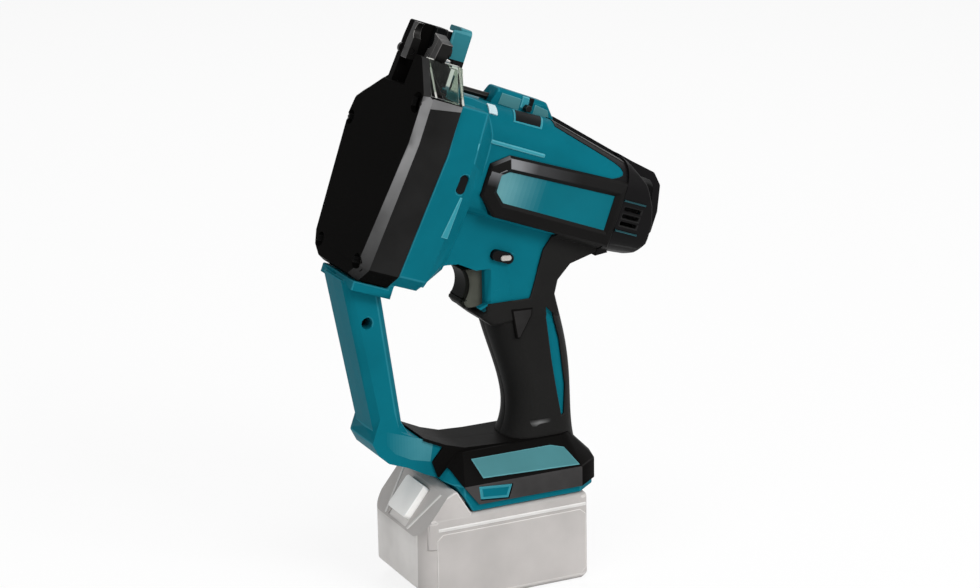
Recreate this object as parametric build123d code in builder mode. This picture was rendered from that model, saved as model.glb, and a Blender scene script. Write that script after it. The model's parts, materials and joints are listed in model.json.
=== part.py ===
# Cordless threaded rod cutter: moulded halves hold a motor, a two stage planetary reducer and a cam head.
# Millimetres. Front is -X, the tool's left is -Y, up is +Z; the origin is the middle of the pack's underside.
# The motor and the rod lie along a line tilted nose up; stations run back from the front face of the head.
from build123d import *
from math import acos, atan2, cos, hypot, pi, radians, sin, tan
import os

os.makedirs("parts", exist_ok=True)

# Driving dimensions
TILT = 20.7
NOSE = (-65.65, 0, 292.06)
WALL = 2.7
SKIN = 1.6
RUN = 0.35
ROD_X, ROD_H, ROD_R = -6.0, 70.0, 5.2
COVER_DEPTH = 26.0
CASE_FRONT, CASE_FLOOR, CASE_BACK = 26.3, 37.0, 44.5
BARREL_END = 160.0
BATTERY_LENGTH, BATTERY_WIDTH, BATTERY_TOP = 117.0, 75.0, 58.0
FOOT_BOTTOM = 58.6
PIVOT = (-4.0, 20.0)
CAM_AXIS = (0.0, -36.0)
ROLLER = (-16.0, -17.0)
ROLLER_R = 6.0
ARM_SWING, CAM_SWEEP = 18.0, 270.0

C, S = cos(radians(TILT)), sin(radians(TILT))
HEAD = Plane(origin=NOSE, x_dir=(0, 1, 0), z_dir=(C, 0, -S))
SIDE = Plane(origin=NOSE, x_dir=(C, 0, -S), z_dir=(0, -1, 0))


def station(t):
    """A plane across the motor line: x to the tool's right, y up the head, normal to the back."""
    return HEAD.offset(t)


def panel(plane, points, inset=0):
    """A straight sided face, shrunk by the inset; its corners may run either way round."""
    turn = sum(a[0] * b[1] - a[1] * b[0] for a, b in zip(points, points[1:] + points[:1]))
    if turn < 0:
        points = points[::-1]
    with BuildSketch(plane) as face:
        with BuildLine():
            Polyline(*points, close=True)
        make_face()
        if inset:
            offset(amount=-inset, kind=Kind.INTERSECTION, mode=Mode.REPLACE)
    return face.sketch


def rounded(plane, left, right, low, high, radius):
    """A rectangle with round corners, given by its sides."""
    with BuildSketch(plane) as face:
        with Locations(((left + right) / 2, (low + high) / 2)):
            RectangleRounded(right - left, high - low, radius)
    return face.sketch


def drum(start, end, radius, centre=(0, 0), hole=0):
    """A disc, ring or shaft along the motor line."""
    with BuildPart() as body:
        with BuildSketch(station(start)):
            with Locations(centre):
                Circle(radius)
                if hole:
                    Circle(hole, mode=Mode.SUBTRACT)
        extrude(amount=end - start)
    return body.part


def block(x, y, z):
    """A box given by its limits along each axis."""
    with BuildPart() as body:
        with BuildSketch(Plane.XY.offset(z[0])):
            with Locations(((x[0] + x[1]) / 2, (y[0] + y[1]) / 2)):
                Rectangle(x[1] - x[0], y[1] - y[0])
        extrude(amount=z[1] - z[0])
    return body.part


def head_block(x, h, t):
    """A box in the head's frame: right, up the head, back."""
    with BuildPart() as body:
        with BuildSketch(station(t[0])):
            with Locations(((x[0] + x[1]) / 2, (h[0] + h[1]) / 2)):
                Rectangle(x[1] - x[0], h[1] - h[0])
        extrude(amount=t[1] - t[0])
    return body.part


def save(part, label):
    part.label = label
    export_step(part, f"parts/{label}.step")


# Outer forms of the moulded body
FLARE = [(-26, -79.5), (27, -79.5), (38, -73), (44, -64), (50, 6), (46, 22), (22, 41),
         (-20, 41), (-26, 36.5), (-45, 36.5), (-48, 6), (-35, -72)]
FLARE_BACK = [(-17, -64), (17, -64), (19, -61), (21, -54), (30, 0), (29, 20), (18, 39),
              (-18, 39), (-22, 37), (-29, 20), (-30, 0), (-20, -56)]
FLARE_END, FLARE_BLEND = 45.0, 62.0
BARREL_HALF, BARREL_LOW, BARREL_ROUND = 30.5, -27.0, 17.0
BARREL_TOPS = [(45.0, 40.5), (103.0, 41.3), (BARREL_END, 29.2)]
ZONE = [(-54, 208), (-43.5, 200.5), (-33, 213), (-20, 212.5), (-8, 206.7), (-1, 206.7), (-1, 180.3),
        (-3.5, 176.5), (3, 171), (47.5, 171), (44.5, 184), (47, 193.5), (58.4, 205.3), (72.5, 209.3), (60, 245),
        (-30, 262)]
ZONE_HALF, ZONE_CHAMFER = 18.4, 3.0
GRIP = [(208, -2, 47, 18.4), (176, 4, 51, 18.4), (150, 11.5, 57, 16.8), (115, 20.2, 60, 16.3),
        (84, 9, 62.5, 19.5)]
GRIP_FLAT = 2.5
FOOT_PLAN = [(-38, -26), (-27, -36.5), (53, -36.5), (66.5, -26), (70.5, -12),
             (70.5, 12), (66.5, 26), (53, 36.5), (-27, 36.5), (-38, 26)]
FOOT_SHOULDER, FOOT_CREST, FOOT_SLOPE = 76.0, 91.0, 44.0
GUARD = [(-95.5, 212), (-70, 203), (-58, 116), (-53, 107), (-46, 103.5), (-32, 97), (-19, 93), (20, 91),
         (20, 80), (-30, 75), (-45, 80.5), (-56, 86.5), (-68, 91), (-75.5, 98), (-79.5, 106), (-77, 113)]
GUARD_HALF, GUARD_CHAMFER = 17.5, 4.5


def barrel(grow):
    """The motor barrel, level at first and then falling to the rear."""
    half, radius, low = BARREL_HALF + grow, BARREL_ROUND + grow, BARREL_LOW - grow
    with BuildPart() as body:
        loft([rounded(station(t), -half, half, low, top + grow, radius) for t, top in BARREL_TOPS],
             ruled=True)
    return body.part


def grip(grow):
    """The pistol grip from the trigger zone down into the foot."""
    with BuildPart() as body:
        loft([rounded(Plane.XY.offset(z), front - grow, rear + grow, -half - grow, half + grow,
                      half - GRIP_FLAT + grow) for z, front, rear, half in GRIP])
    return body.part


def zone(grow):
    """The narrow web between barrel and grip that carries the trigger."""
    with BuildPart() as body:
        extrude(panel(Plane.XZ, ZONE, -grow), amount=ZONE_HALF + grow, both=True)
        if grow >= 0:
            chamfer(body.edges().filter_by(Plane.XZ).filter_by(lambda e: e.center().Z < 203), ZONE_CHAMFER)
    return body.part


def foot(grow):
    """The battery foot: upright sides and a sloped top."""
    with BuildPart() as body:
        extrude(panel(Plane.XY.offset(FOOT_BOTTOM), FOOT_PLAN, -grow), amount=FOOT_SHOULDER - FOOT_BOTTOM)
        extrude(panel(Plane.XY.offset(FOOT_SHOULDER), FOOT_PLAN, -grow),
                amount=FOOT_CREST + grow - FOOT_SHOULDER, taper=FOOT_SLOPE)
    return body.part


with BuildPart() as flare:
    extrude(panel(station(CASE_FRONT), FLARE), amount=FLARE_END - CASE_FRONT)
    loft([panel(station(FLARE_END), FLARE), panel(station(FLARE_BLEND), FLARE_BACK)], ruled=True)

with BuildPart() as flare_room:
    extrude(panel(station(CASE_FRONT), FLARE, WALL), amount=FLARE_END - CASE_FRONT)
    loft([panel(station(FLARE_END), FLARE, WALL), panel(station(FLARE_BLEND), FLARE_BACK, WALL)], ruled=True)

with BuildPart() as guard:
    extrude(panel(Plane.XZ, GUARD), amount=GUARD_HALF, both=True)
    column = guard.edges().filter_by(Plane.XZ).filter_by(lambda e: e.center().X < -52 and e.center().Z > 110)
    chamfer(column, GUARD_CHAMFER)

with BuildPart() as guard_skin:
    extrude(panel(Plane.XZ, GUARD, -SKIN), amount=GUARD_HALF + SKIN, both=True)

with BuildPart() as outer:
    add(flare.part)
    add(barrel(0))
    add(zone(0))
    add(grip(0))
    add(foot(0))
    add(guard.part)


# Housing halves: teal mouldings parted on the middle plane, with ribs for the motor and bosses for the screws
HUMP = [(64, 44), (67, 51), (102, 50), (109, 42.5)]
HUMP_HALF, HUMP_BASE = 8.0, 34.0
KEY_H, KEY_FRONT, KEY_ELBOW, KEY_FLATS = 43.6, 46.0, 90.0, 4.0
LIP_LEFT, LIP_RIGHT, LIP_LOW, LIP_TOP, LIP_FRONT, LIP_WEB = -26.0, 22.0, -88.0, -82.3, 3.0, -77.5
FOOT_ROOM = [(-18, -33.5), (50, -33.5), (61, -25), (65, -11.5),
             (65, 11.5), (61, 25), (50, 33.5), (-18, 33.5)]
FOOT_FLOOR = 70.0
BAY = [(-21.5, 50), (-21.5, 58.6), (-31, 75), (-45, 81), (-56, 87), (-68, 91.5), (-100, 91.5), (-100, 50)]
GUARD_ROOM = [(-89, 205), (-74.5, 199), (-62.5, 119), (-71.5, 113)]
RAIL_SLOT, RAIL_ROOM, RAIL_STEP, RAIL_ROOF, RAIL_END = 26.6, 30.6, 62.4, 67.4, 52.0
TRIGGER_HALF = 11.0
TRIGGER_LOW, TRIGGER_HIGH = 180.8, 206.2
LOCK_X, LOCK_Z, LOCK_LONG, LOCK_HIGH = 9.0, 213.5, 15.0, 6.4
FRONT_BEARING, REAR_BEARING = (77.0, 84.0, 11.0), (150.0, 156.0, 9.5)
STATOR_R = 23.0
RIBS = [FRONT_BEARING, (94.0, 98.0, STATOR_R), (122.0, 126.0, STATOR_R), REAR_BEARING]
SCREWS = [(-80.8, 183.6, 14, -1), (34.0, 223.0, 17, 1), (54.5, 73.0, 22, 1), (45.0, 160.0, 11, 1),
          (13.0, 297.0, 22, 1)]
SOCKET_X, SOCKET_Z, SOCKET_LONG, SOCKET_WIDE, SOCKET_FLOOR = -28.4, 269.1, 12.4, 6.4, 44.2
SCREW_HEAD, SCREW_SHANK, SCREW_SEAT, SCREW_END = 3.4, 1.5, 6.0, 11.0
REAR_SCREWS = [(-19.0, 10.0), (19.0, 10.0)]


def barrel_top(t):
    """Height of the barrel's crown at a station."""
    (level, high), (end, low) = BARREL_TOPS[1], BARREL_TOPS[2]
    return high - max(0, t - level) * (high - low) / (end - level)


def across(x, z, radius, start, end):
    """A round bar across the tool, from one side distance to another, right being positive."""
    with BuildPart() as body:
        with BuildSketch(Plane.XZ.offset(-start)):
            with Locations((x, z)):
                Circle(radius)
        extrude(amount=start - end)
    return body.part


def sideways(x, z, radius, inner, outer, side):
    """A round bar across the tool, its ends measured from the middle plane towards one side."""
    return across(x, z, radius, max(side * inner, side * outer), min(side * inner, side * outer))


def rib(start, end, bore):
    """A bulkhead across the barrel with a round seat."""
    with BuildPart() as body:
        half, low, top = BARREL_HALF - WALL / 2, BARREL_LOW + WALL / 2, barrel_top(end) - WALL / 2
        extrude(rounded(station(start), -half, half, low, top, BARREL_ROUND - WALL / 2), amount=end - start)
        add(drum(start - 1, end + 1, bore), mode=Mode.SUBTRACT)
    return body.part


def oval(half_long, half_high, start, end):
    """The lock-off button's form across the tool."""
    with BuildPart() as body:
        with BuildSketch(Plane.XZ.offset(-start)):
            with Locations((LOCK_X, LOCK_Z)):
                SlotOverall(2 * half_long, 2 * half_high, rotation=-TILT)
        extrude(amount=start - end)
    return body.part


with BuildPart() as hump:
    loft([rounded(station(t), -HUMP_HALF, HUMP_HALF, HUMP_BASE, top, 3) for t, top in HUMP], ruled=True)

with BuildPart() as shell:
    add(outer.part)
    add(hump.part)
    add(head_block((LIP_LEFT, LIP_RIGHT), (LIP_LOW, LIP_TOP), (LIP_FRONT, 28)))
    add(head_block((LIP_LEFT, LIP_RIGHT), (LIP_LOW, LIP_WEB), (CASE_FRONT, 30)))
    add(flare_room.part, mode=Mode.SUBTRACT)
    add(barrel(-WALL), mode=Mode.SUBTRACT)
    add(zone(-WALL), mode=Mode.SUBTRACT)
    add(grip(-WALL), mode=Mode.SUBTRACT)
    extrude(panel(Plane.XY.offset(FOOT_FLOOR), FOOT_ROOM), amount=FOOT_SHOULDER - FOOT_FLOOR,
            mode=Mode.SUBTRACT)
    extrude(panel(Plane.XY.offset(FOOT_SHOULDER), FOOT_ROOM), amount=FOOT_CREST - FOOT_SHOULDER - 5,
            taper=FOOT_SLOPE, mode=Mode.SUBTRACT)
    extrude(panel(Plane.XZ, GUARD_ROOM), amount=GUARD_HALF - 3.5, both=True, mode=Mode.SUBTRACT)
    extrude(panel(Plane.XZ, BAY), amount=60, both=True, mode=Mode.SUBTRACT)
    add(block((-60, RAIL_END), (-RAIL_SLOT, RAIL_SLOT), (50, RAIL_STEP + 0.1)), mode=Mode.SUBTRACT)
    add(block((-60, RAIL_END), (-RAIL_ROOM, RAIL_ROOM), (RAIL_STEP, RAIL_ROOF)), mode=Mode.SUBTRACT)
    add(block((0, 46), (-18, 18), (RAIL_ROOF - 1, FOOT_FLOOR + 1)), mode=Mode.SUBTRACT)
    add(block((-5, 3), (-TRIGGER_HALF - RUN, TRIGGER_HALF + RUN), (TRIGGER_LOW - RUN, TRIGGER_HIGH + RUN)),
        mode=Mode.SUBTRACT)
    for start, end, bore in RIBS:
        add(rib(start, end, bore))
    for x, z, half, side in SCREWS:
        add(across(x, z, 4.6, half, -half))
    for centre in REAR_SCREWS:
        add(drum(149, 157, 1.6, centre), mode=Mode.SUBTRACT)
    add(oval(LOCK_LONG / 2 + RUN, LOCK_HIGH / 2 + RUN, 40, -40), mode=Mode.SUBTRACT)
    add(drum(KEY_FRONT, KEY_ELBOW + 3, KEY_FLATS / 3 ** 0.5, (0, KEY_H)), mode=Mode.SUBTRACT)
    add(head_block((-9, 0), (38.5, 47), (83, 98)), mode=Mode.SUBTRACT)
    for x, z, half, side in SCREWS:
        add(sideways(x, z, SCREW_HEAD + 0.2, SCREW_SEAT, 60, side), mode=Mode.SUBTRACT)
        add(sideways(x, z, SCREW_SHANK + 0.1, -SCREW_END - 1, SCREW_SEAT + 1, side), mode=Mode.SUBTRACT)
    for side in (-1, 1):
        with BuildSketch(Plane.XZ.offset(-side * SOCKET_FLOOR)):
            with Locations((SOCKET_X, SOCKET_Z)):
                SlotOverall(SOCKET_LONG, SOCKET_WIDE, rotation=90 - TILT)
        extrude(amount=-side * 20, mode=Mode.SUBTRACT)

with BuildPart() as housing_left:
    add(shell.part)
    split(bisect_by=Plane.XZ, keep=Keep.TOP)
save(housing_left.part, "housing_left")

with BuildPart() as housing_right:
    add(shell.part)
    split(bisect_by=Plane.XZ, keep=Keep.BOTTOM)
save(housing_right.part, "housing_right")


# Black elastomer skins on the halves: barrel side pads, grip skins and foot pads
PAD_DEEP = 2.0
PAD = [(62, -12), (64, 6), (74, 15), (100, 16), (159.7, 18), (159.7, -24), (74, -22.5)]
PAD_WINDOW = [(76, -10), (76, 3.5), (152, 5), (152, -12), (79, -13.5)]
GRIP_FIELD = [(-12, 174), (-0.9, 179.4), (-0.9, 184.5), (27.6, 184.5), (37, 214), (45, 224.2),
              (75.2, 212.8), (75.2, 60), (-12, 60)]
GRIP_STRIPE = [(38.2, 178), (44, 172), (49, 155), (52, 132), (53.4, 123), (51.6, 105), (49.6, 104), (43, 143),
               (39, 170)]
FOOT_FIELD = [(-36, 88), (-31, 84), (-28, 76), (-18, 63.2), (75, 62.8), (75, 110), (-36, 110)]
SLAB_FIELD = [(-46, 103.2), (-33, 97.1), (-40.4, 88.5), (-36, 76), (22, 76), (22, 115), (-46, 115)]
FOOT_PANEL = [(-13.5, 79), (50, 79), (37, 88.5), (-17, 88.5)]
FOOT_BADGE = [(-18, 75), (5.5, 73), (2.5, 63.6), (-17, 65.5)]

with BuildPart() as side_pad:
    add(barrel(PAD_DEEP))
    add(outer.part, mode=Mode.SUBTRACT)
    extrude(panel(SIDE, PAD), amount=60, both=True, mode=Mode.INTERSECT)
    extrude(panel(SIDE, PAD_WINDOW), amount=60, both=True, mode=Mode.SUBTRACT)

with BuildPart() as grip_skin:
    add(grip(SKIN))
    add(zone(SKIN))
    add(barrel(SKIN))
    add(outer.part, mode=Mode.SUBTRACT)
    add(foot(SKIN), mode=Mode.SUBTRACT)
    add(guard_skin.part, mode=Mode.SUBTRACT)
    extrude(panel(Plane.XZ, GRIP_FIELD), amount=60, both=True, mode=Mode.INTERSECT)
    add(head_block((-60, 60), (-60, 60), (BARREL_END - 0.3, 200)), mode=Mode.SUBTRACT)
    extrude(panel(Plane.XZ, GRIP_STRIPE), amount=60, both=True, mode=Mode.SUBTRACT)
    for x, z, half, side in SCREWS:
        add(sideways(x, z, SCREW_HEAD + 0.2, 0, 60, side), mode=Mode.SUBTRACT)

with BuildPart() as slab_skin:
    add(guard_skin.part)
    extrude(panel(Plane.XZ, SLAB_FIELD), amount=60, both=True, mode=Mode.INTERSECT)

with BuildPart() as foot_pad:
    add(foot(SKIN))
    extrude(panel(Plane.XZ, FOOT_FIELD), amount=60, both=True, mode=Mode.INTERSECT)
    add(slab_skin.part)
    add(outer.part, mode=Mode.SUBTRACT)
    extrude(panel(Plane.XZ, BAY), amount=60, both=True, mode=Mode.SUBTRACT)
    extrude(panel(Plane.XZ, FOOT_PANEL), amount=60, both=True, mode=Mode.SUBTRACT)
    extrude(panel(Plane.XZ, FOOT_BADGE), amount=60, both=True, mode=Mode.SUBTRACT)
    for x, z, half, side in SCREWS:
        add(sideways(x, z, SCREW_HEAD + 0.2, 0, 60, side), mode=Mode.SUBTRACT)

for skin, name in ((side_pad, "side_pad"), (grip_skin, "grip_skin"), (foot_pad, "foot_pad")):
    for side, keep in (("left", Keep.TOP), ("right", Keep.BOTTOM)):
        with BuildPart() as half_skin:
            add(skin.part)
            split(bisect_by=Plane.XZ, keep=keep)
        save(half_skin.part, f"{name}_{side}")

# Rear cover: black moulding over the fan end, with a tongue along the crown and a tether loop behind
REAR_FRONT, REAR_LONG, REAR_TAPER, REAR_SEAT = 160.3, 30.0, 5.0, 172.0
REAR_HALF, REAR_LOW, REAR_TOP, REAR_ROUND = 32.0, -28.6, 30.8, 18.0
REAR_PROFILE = [(REAR_FRONT, 31), (166, 26.5), (175, 20), (183, 8), (187, -3), (187.5, -15), (184, -23.5),
                (176, -28.8), (REAR_FRONT, -28.8)]
REAR_ROOM = [(REAR_FRONT, 28.5, -25, 26, 15), (170, 27.5, -24.5, 19, 13), (180, 23, -18, 6, 9)]
REAR_CHIN = [(REAR_FRONT, -32), (168, -28), (REAR_FRONT, -20)]
LOOP = [(REAR_FRONT, 20), (REAR_FRONT, 32.4), (172, 30), (190, 27), (197, 20.3), (201, 3.7), (201, -9.7),
        (198.5, -15.3), (190, -22.5), (182, -22.5), (182, 0), (172, 15)]
LOOP_EYE = [(178, 22.5), (189, 21.8), (192.3, 18.5), (196, 3.3), (196, -8.7), (194.3, -11.7), (189.3, -15.5),
            (189.3, -3), (185, 9), (178.5, 18.5)]
LOOP_HALF, TONGUE_HALF, TONGUE_START, TONGUE_DEEP, TONGUE_TUCK = 8.0, 4.5, 110.0, 3.2, 2.0
TONGUE = [(TONGUE_START, barrel_top(TONGUE_START)), (BARREL_END, barrel_top(BARREL_END)),
          (BARREL_END + TONGUE_TUCK, barrel_top(BARREL_END)),
          (BARREL_END + TONGUE_TUCK, barrel_top(BARREL_END + TONGUE_TUCK) + TONGUE_DEEP),
          (TONGUE_START, barrel_top(TONGUE_START) + TONGUE_DEEP)]
VENT_ROWS, VENT_LOW, VENT_PITCH, VENT_HIGH = 3, -8.4, 4.6, 2.4

with BuildPart() as loop:
    extrude(panel(SIDE, LOOP), amount=LOOP_HALF, both=True)
    extrude(panel(SIDE, LOOP_EYE), amount=20, both=True, mode=Mode.SUBTRACT)

with BuildPart() as rear_cover:
    extrude(rounded(station(REAR_FRONT), -REAR_HALF, REAR_HALF, REAR_LOW, REAR_TOP, REAR_ROUND),
            amount=REAR_LONG, taper=REAR_TAPER)
    extrude(panel(SIDE, REAR_PROFILE), amount=40, both=True, mode=Mode.INTERSECT)
    extrude(panel(SIDE, REAR_CHIN), amount=ZONE_HALF + SKIN, both=True)
    loft([rounded(station(t), -w, w, low, top, r) for t, w, low, top, r in REAR_ROOM], ruled=True,
         mode=Mode.SUBTRACT)
    extrude(panel(SIDE, TONGUE), amount=TONGUE_HALF, both=True)
    add(loop.part)
    for row in range(VENT_ROWS):
        low = VENT_LOW + VENT_PITCH * row
        add(head_block((-40, -20), (low, low + VENT_HIGH), (REAR_FRONT + 3, 176)), mode=Mode.SUBTRACT)
        add(head_block((20, 40), (low, low + VENT_HIGH), (REAR_FRONT + 3, 176)), mode=Mode.SUBTRACT)
    for centre in REAR_SCREWS:
        add(drum(REAR_FRONT, REAR_SEAT + 4, 4.2, centre))
        add(drum(REAR_FRONT - 1, REAR_SEAT + 1, 1.65, centre), mode=Mode.SUBTRACT)
        add(drum(REAR_SEAT, 195, 3.1, centre), mode=Mode.SUBTRACT)
save(rear_cover.part, "rear_cover")

with BuildPart() as housing_screws:
    for x, z, half, side in SCREWS:
        add(sideways(x, z, SCREW_HEAD, SCREW_SEAT, SCREW_SEAT + 2.6, side))
        add(sideways(x, z, SCREW_SHANK, -SCREW_END, SCREW_SEAT, side))
    for centre in REAR_SCREWS:
        add(drum(REAR_SEAT, REAR_SEAT + 2.2, 2.9, centre))
        add(drum(151, REAR_SEAT, 1.5, centre))
save(housing_screws.part, "housing_screws")

# Front cover: black cast cover of the gear room, its right wall standing up as the fixed jaw
COVER_FACE = [(-21, -79), (25, -79), (34, -74), (38.5, -66), (44, 8), (41, 19), (10, 37.5), (10, 75), (4, 75),
              (4, 37), (-17, 37), (-20.5, 57), (-29, 57), (-46.3, 37), (-46.5, 8), (-29.5, -72)]
COVER_RIM = [(-24.5, -82), (28, -82), (39, -75), (44, -66), (50, 8), (46, 23), (10, 42.5), (10, 75), (4, 75),
             (4, 37), (-17, 37), (-20.5, 57), (-33, 57), (-48, 38), (-48, 8), (-35, -73)]
COVER_ROOM = [(-22, -79), (23, -79), (34, -73), (40, -65), (46, 8), (42, 19), (7.5, 33.8), (-45, 33.8),
              (-45, 8), (-32, -71.5)]
JAW_LEAN = [(-1, 36), (1.5, 37), (3.5, 65), (5, 77), (-1, 77)]
COVER_CHAMFER, COVER_WALL, COVER_BROW, SHOULDER_H = 6.0, 3.5, 4.0, 36.5
COVER_BOLTS = [(-40.0, 31.0), (39.5, 6.0), (-26.5, -70.0), (29.0, -70.0)]
BOLT_HEAD, BOLT_SHANK, BOLT_SEAT, BOLT_END = 4.25, 2.5, 9.0, 40.0
ARM_FRONT, ARM_BACK = 9.0, 16.5
DIE_SCREW_H, DIE_SCREW_T = 57.0, 5.0
SHAFT_R, TAIL_R, BEARING_R, PIVOT_R, PLAY = 4.0, 3.5, 11.0, 6.0, 0.05


def swung(points, angle=ARM_SWING):
    """Head points turned about the arm's pivot, from the end of the cut to the open rest position."""
    c, s = cos(radians(angle)), sin(radians(angle))
    from_pivot = [(x - PIVOT[0], h - PIVOT[1]) for x, h in points]
    return [(PIVOT[0] + c * x - s * h, PIVOT[1] + s * x + c * h) for x, h in from_pivot]


def lateral(h, t, radius, start, end):
    """A round bar across the head, at a height and station, from one side distance to another."""
    x, z = NOSE[0] + t * C + h * S, NOSE[2] - t * S + h * C
    return across(x, z, radius, start, end)


with BuildPart() as jaw_front:
    extrude(panel(SIDE, JAW_LEAN), amount=20, both=True)
    add(head_block((-4.5, 12), (30, 80), (-2, 10)), mode=Mode.INTERSECT)

with BuildPart() as front_cover:
    loft([panel(station(0), COVER_FACE), panel(station(COVER_CHAMFER), COVER_RIM)], ruled=True)
    extrude(panel(station(COVER_CHAMFER), COVER_RIM), amount=COVER_DEPTH - COVER_CHAMFER)
    extrude(panel(station(COVER_WALL), COVER_ROOM), amount=COVER_DEPTH, mode=Mode.SUBTRACT)
    add(head_block((-28, 3.6), (30, 60), (ARM_FRONT - 0.5, ARM_BACK + 0.5)), mode=Mode.SUBTRACT)
    add(jaw_front.part, mode=Mode.SUBTRACT)
    add(drum(COVER_WALL - 0.5, ARM_FRONT - 0.4, BEARING_R + 2.5, CAM_AXIS))
    add(drum(COVER_WALL - 0.5, ARM_FRONT - 0.4, PIVOT_R + 4, PIVOT))
    for centre in COVER_BOLTS:
        add(drum(COVER_WALL - 0.5, COVER_DEPTH, 6, centre))
    add(head_block((-60, -10), (SHOULDER_H, 60), (COVER_BROW, COVER_DEPTH + 1)), mode=Mode.SUBTRACT)
    add(drum(1.9, ARM_FRONT, BEARING_R, CAM_AXIS), mode=Mode.SUBTRACT)
    add(drum(COVER_WALL, ARM_FRONT, PIVOT_R, PIVOT), mode=Mode.SUBTRACT)
    for centre in COVER_BOLTS:
        add(drum(-1, BOLT_SEAT, BOLT_HEAD + 0.35, centre), mode=Mode.SUBTRACT)
        add(drum(-1, COVER_DEPTH + 1, BOLT_SHANK + 0.25, centre), mode=Mode.SUBTRACT)
    add(drum(-1, 4.5, BOLT_HEAD + 2.2, COVER_BOLTS[0]), mode=Mode.SUBTRACT)
    add(lateral(DIE_SCREW_H, DIE_SCREW_T, 2.0, 11, 3), mode=Mode.SUBTRACT)
    add(lateral(DIE_SCREW_H, DIE_SCREW_T, 3.6, 11, 7.5), mode=Mode.SUBTRACT)
save(front_cover.part, "front_cover")

with BuildPart() as cover_bolts:
    for centre in COVER_BOLTS:
        with BuildSketch(station(BOLT_SEAT - 5)):
            with Locations(centre):
                Circle(BOLT_HEAD)
                RegularPolygon(2, 6, major_radius=False, mode=Mode.SUBTRACT)
        extrude(amount=3)
        add(drum(BOLT_SEAT - 2, BOLT_SEAT, BOLT_HEAD, centre))
        add(drum(BOLT_SEAT, BOLT_END, BOLT_SHANK, centre))
save(cover_bolts.part, "cover_bolts")

# Gear case: aluminium tray behind the cover, with the ring gear's collar on its back
CASE_WALL = 4.0
COLLAR_R, RING_R, RING_START, RING_END = 27.0, 25.0, 46.5, 74.0

with BuildPart() as gear_case:
    extrude(panel(station(CASE_FRONT), FLARE, WALL), amount=CASE_BACK - CASE_FRONT)
    extrude(panel(station(CASE_FRONT), FLARE, WALL + CASE_WALL), amount=CASE_FLOOR - CASE_FRONT,
            mode=Mode.SUBTRACT)
    for centre in COVER_BOLTS:
        add(drum(CASE_FRONT, CASE_FLOOR + 1, 5.4, centre))
    extrude(panel(station(CASE_FRONT), FLARE, WALL), amount=CASE_BACK - CASE_FRONT, mode=Mode.INTERSECT)
    add(drum(CASE_BACK - 1, RING_END + 1, COLLAR_R))
    add(drum(RING_START, RING_END + 2, RING_R), mode=Mode.SUBTRACT)
    add(drum(CASE_FLOOR - 1, CASE_BACK, BEARING_R), mode=Mode.SUBTRACT)
    add(drum(CASE_BACK - 1, RING_END, 18.5), mode=Mode.SUBTRACT)
    add(drum(CASE_FLOOR - 1, CASE_BACK - 0.9, BEARING_R, CAM_AXIS), mode=Mode.SUBTRACT)
    add(drum(CASE_FLOOR - 1, CASE_BACK - 0.9, PIVOT_R, PIVOT), mode=Mode.SUBTRACT)
    for centre in COVER_BOLTS:
        add(drum(CASE_FRONT - 1, BOLT_END + 1, BOLT_SHANK, centre), mode=Mode.SUBTRACT)
save(gear_case.part, "gear_case")

# Cutting head: dies, arm, roller, rod rest, latch and chip guard
CUT_FACE_FIXED, CUT_FACE_MOVING = -4.0, -1.5
DIE_LOW, DIE_HIGH, DIE_FRONT = 52.0, 74.6, 1.5
MOVING_LOW, MOVING_HIGH, MOVING_BACK = 60.8, 74.0, -9.0
ARM = [(-15, 74), (-9, 74), (-9, 60.8), (-1.5, 60.8), (-1.5, 50), (2.6, 34), (6, 24), (7, 14), (0, 8),
       (-19, -14), (-24, -19.5), (-30, -19.5), (-34.5, -14), (-33.5, -7), (-16, 12), (-15.5, 30), (-15, 50)]
ROLLER_FRONT, ROLLER_BACK, ROLLER_PIN_R = 17.0, 24.0, 2.5


with BuildPart() as fixed_die:
    add(head_block((CUT_FACE_FIXED, 4), (DIE_LOW, DIE_HIGH), (DIE_FRONT, ARM_FRONT - 0.4)))
    add(jaw_front.part, mode=Mode.SUBTRACT)
    add(drum(0, ARM_FRONT, ROD_R, (ROD_X, ROD_H)), mode=Mode.SUBTRACT)
    add(lateral(DIE_SCREW_H, DIE_SCREW_T, 2.0, 5, -5), mode=Mode.SUBTRACT)
save(fixed_die.part, "fixed_die")

with BuildPart() as fixed_die_screw:
    add(lateral(DIE_SCREW_H, DIE_SCREW_T, 2.0, 7.5, -3.5))
    add(lateral(DIE_SCREW_H, DIE_SCREW_T, 3.4, 9.9, 7.5))
save(fixed_die_screw.part, "fixed_die_screw")

with BuildPart() as cutter_arm:
    extrude(panel(station(ARM_FRONT), swung(ARM)), amount=ARM_BACK - ARM_FRONT)
    add(drum(ARM_FRONT, ARM_BACK, PIVOT_R + PLAY, PIVOT), mode=Mode.SUBTRACT)
    add(drum(ARM_FRONT, ARM_BACK, ROLLER_PIN_R, ROLLER), mode=Mode.SUBTRACT)
    add(drum(ARM_FRONT, ARM_BACK, 2.0, swung([(-11.2, 68)])[0]), mode=Mode.SUBTRACT)
save(cutter_arm.part, "cutter_arm")

with BuildPart() as moving_die:
    extrude(panel(station(ARM_FRONT), swung([(MOVING_BACK, MOVING_LOW), (CUT_FACE_MOVING, MOVING_LOW),
                                             (CUT_FACE_MOVING, MOVING_HIGH), (MOVING_BACK, MOVING_HIGH)])),
            amount=ARM_BACK - ARM_FRONT)
    notch = swung([(CUT_FACE_MOVING + 2, ROD_H - 2)])[0]
    add(drum(ARM_FRONT - 1, ARM_BACK + 1, ROD_R, notch), mode=Mode.SUBTRACT)
save(moving_die.part, "moving_die")

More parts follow.
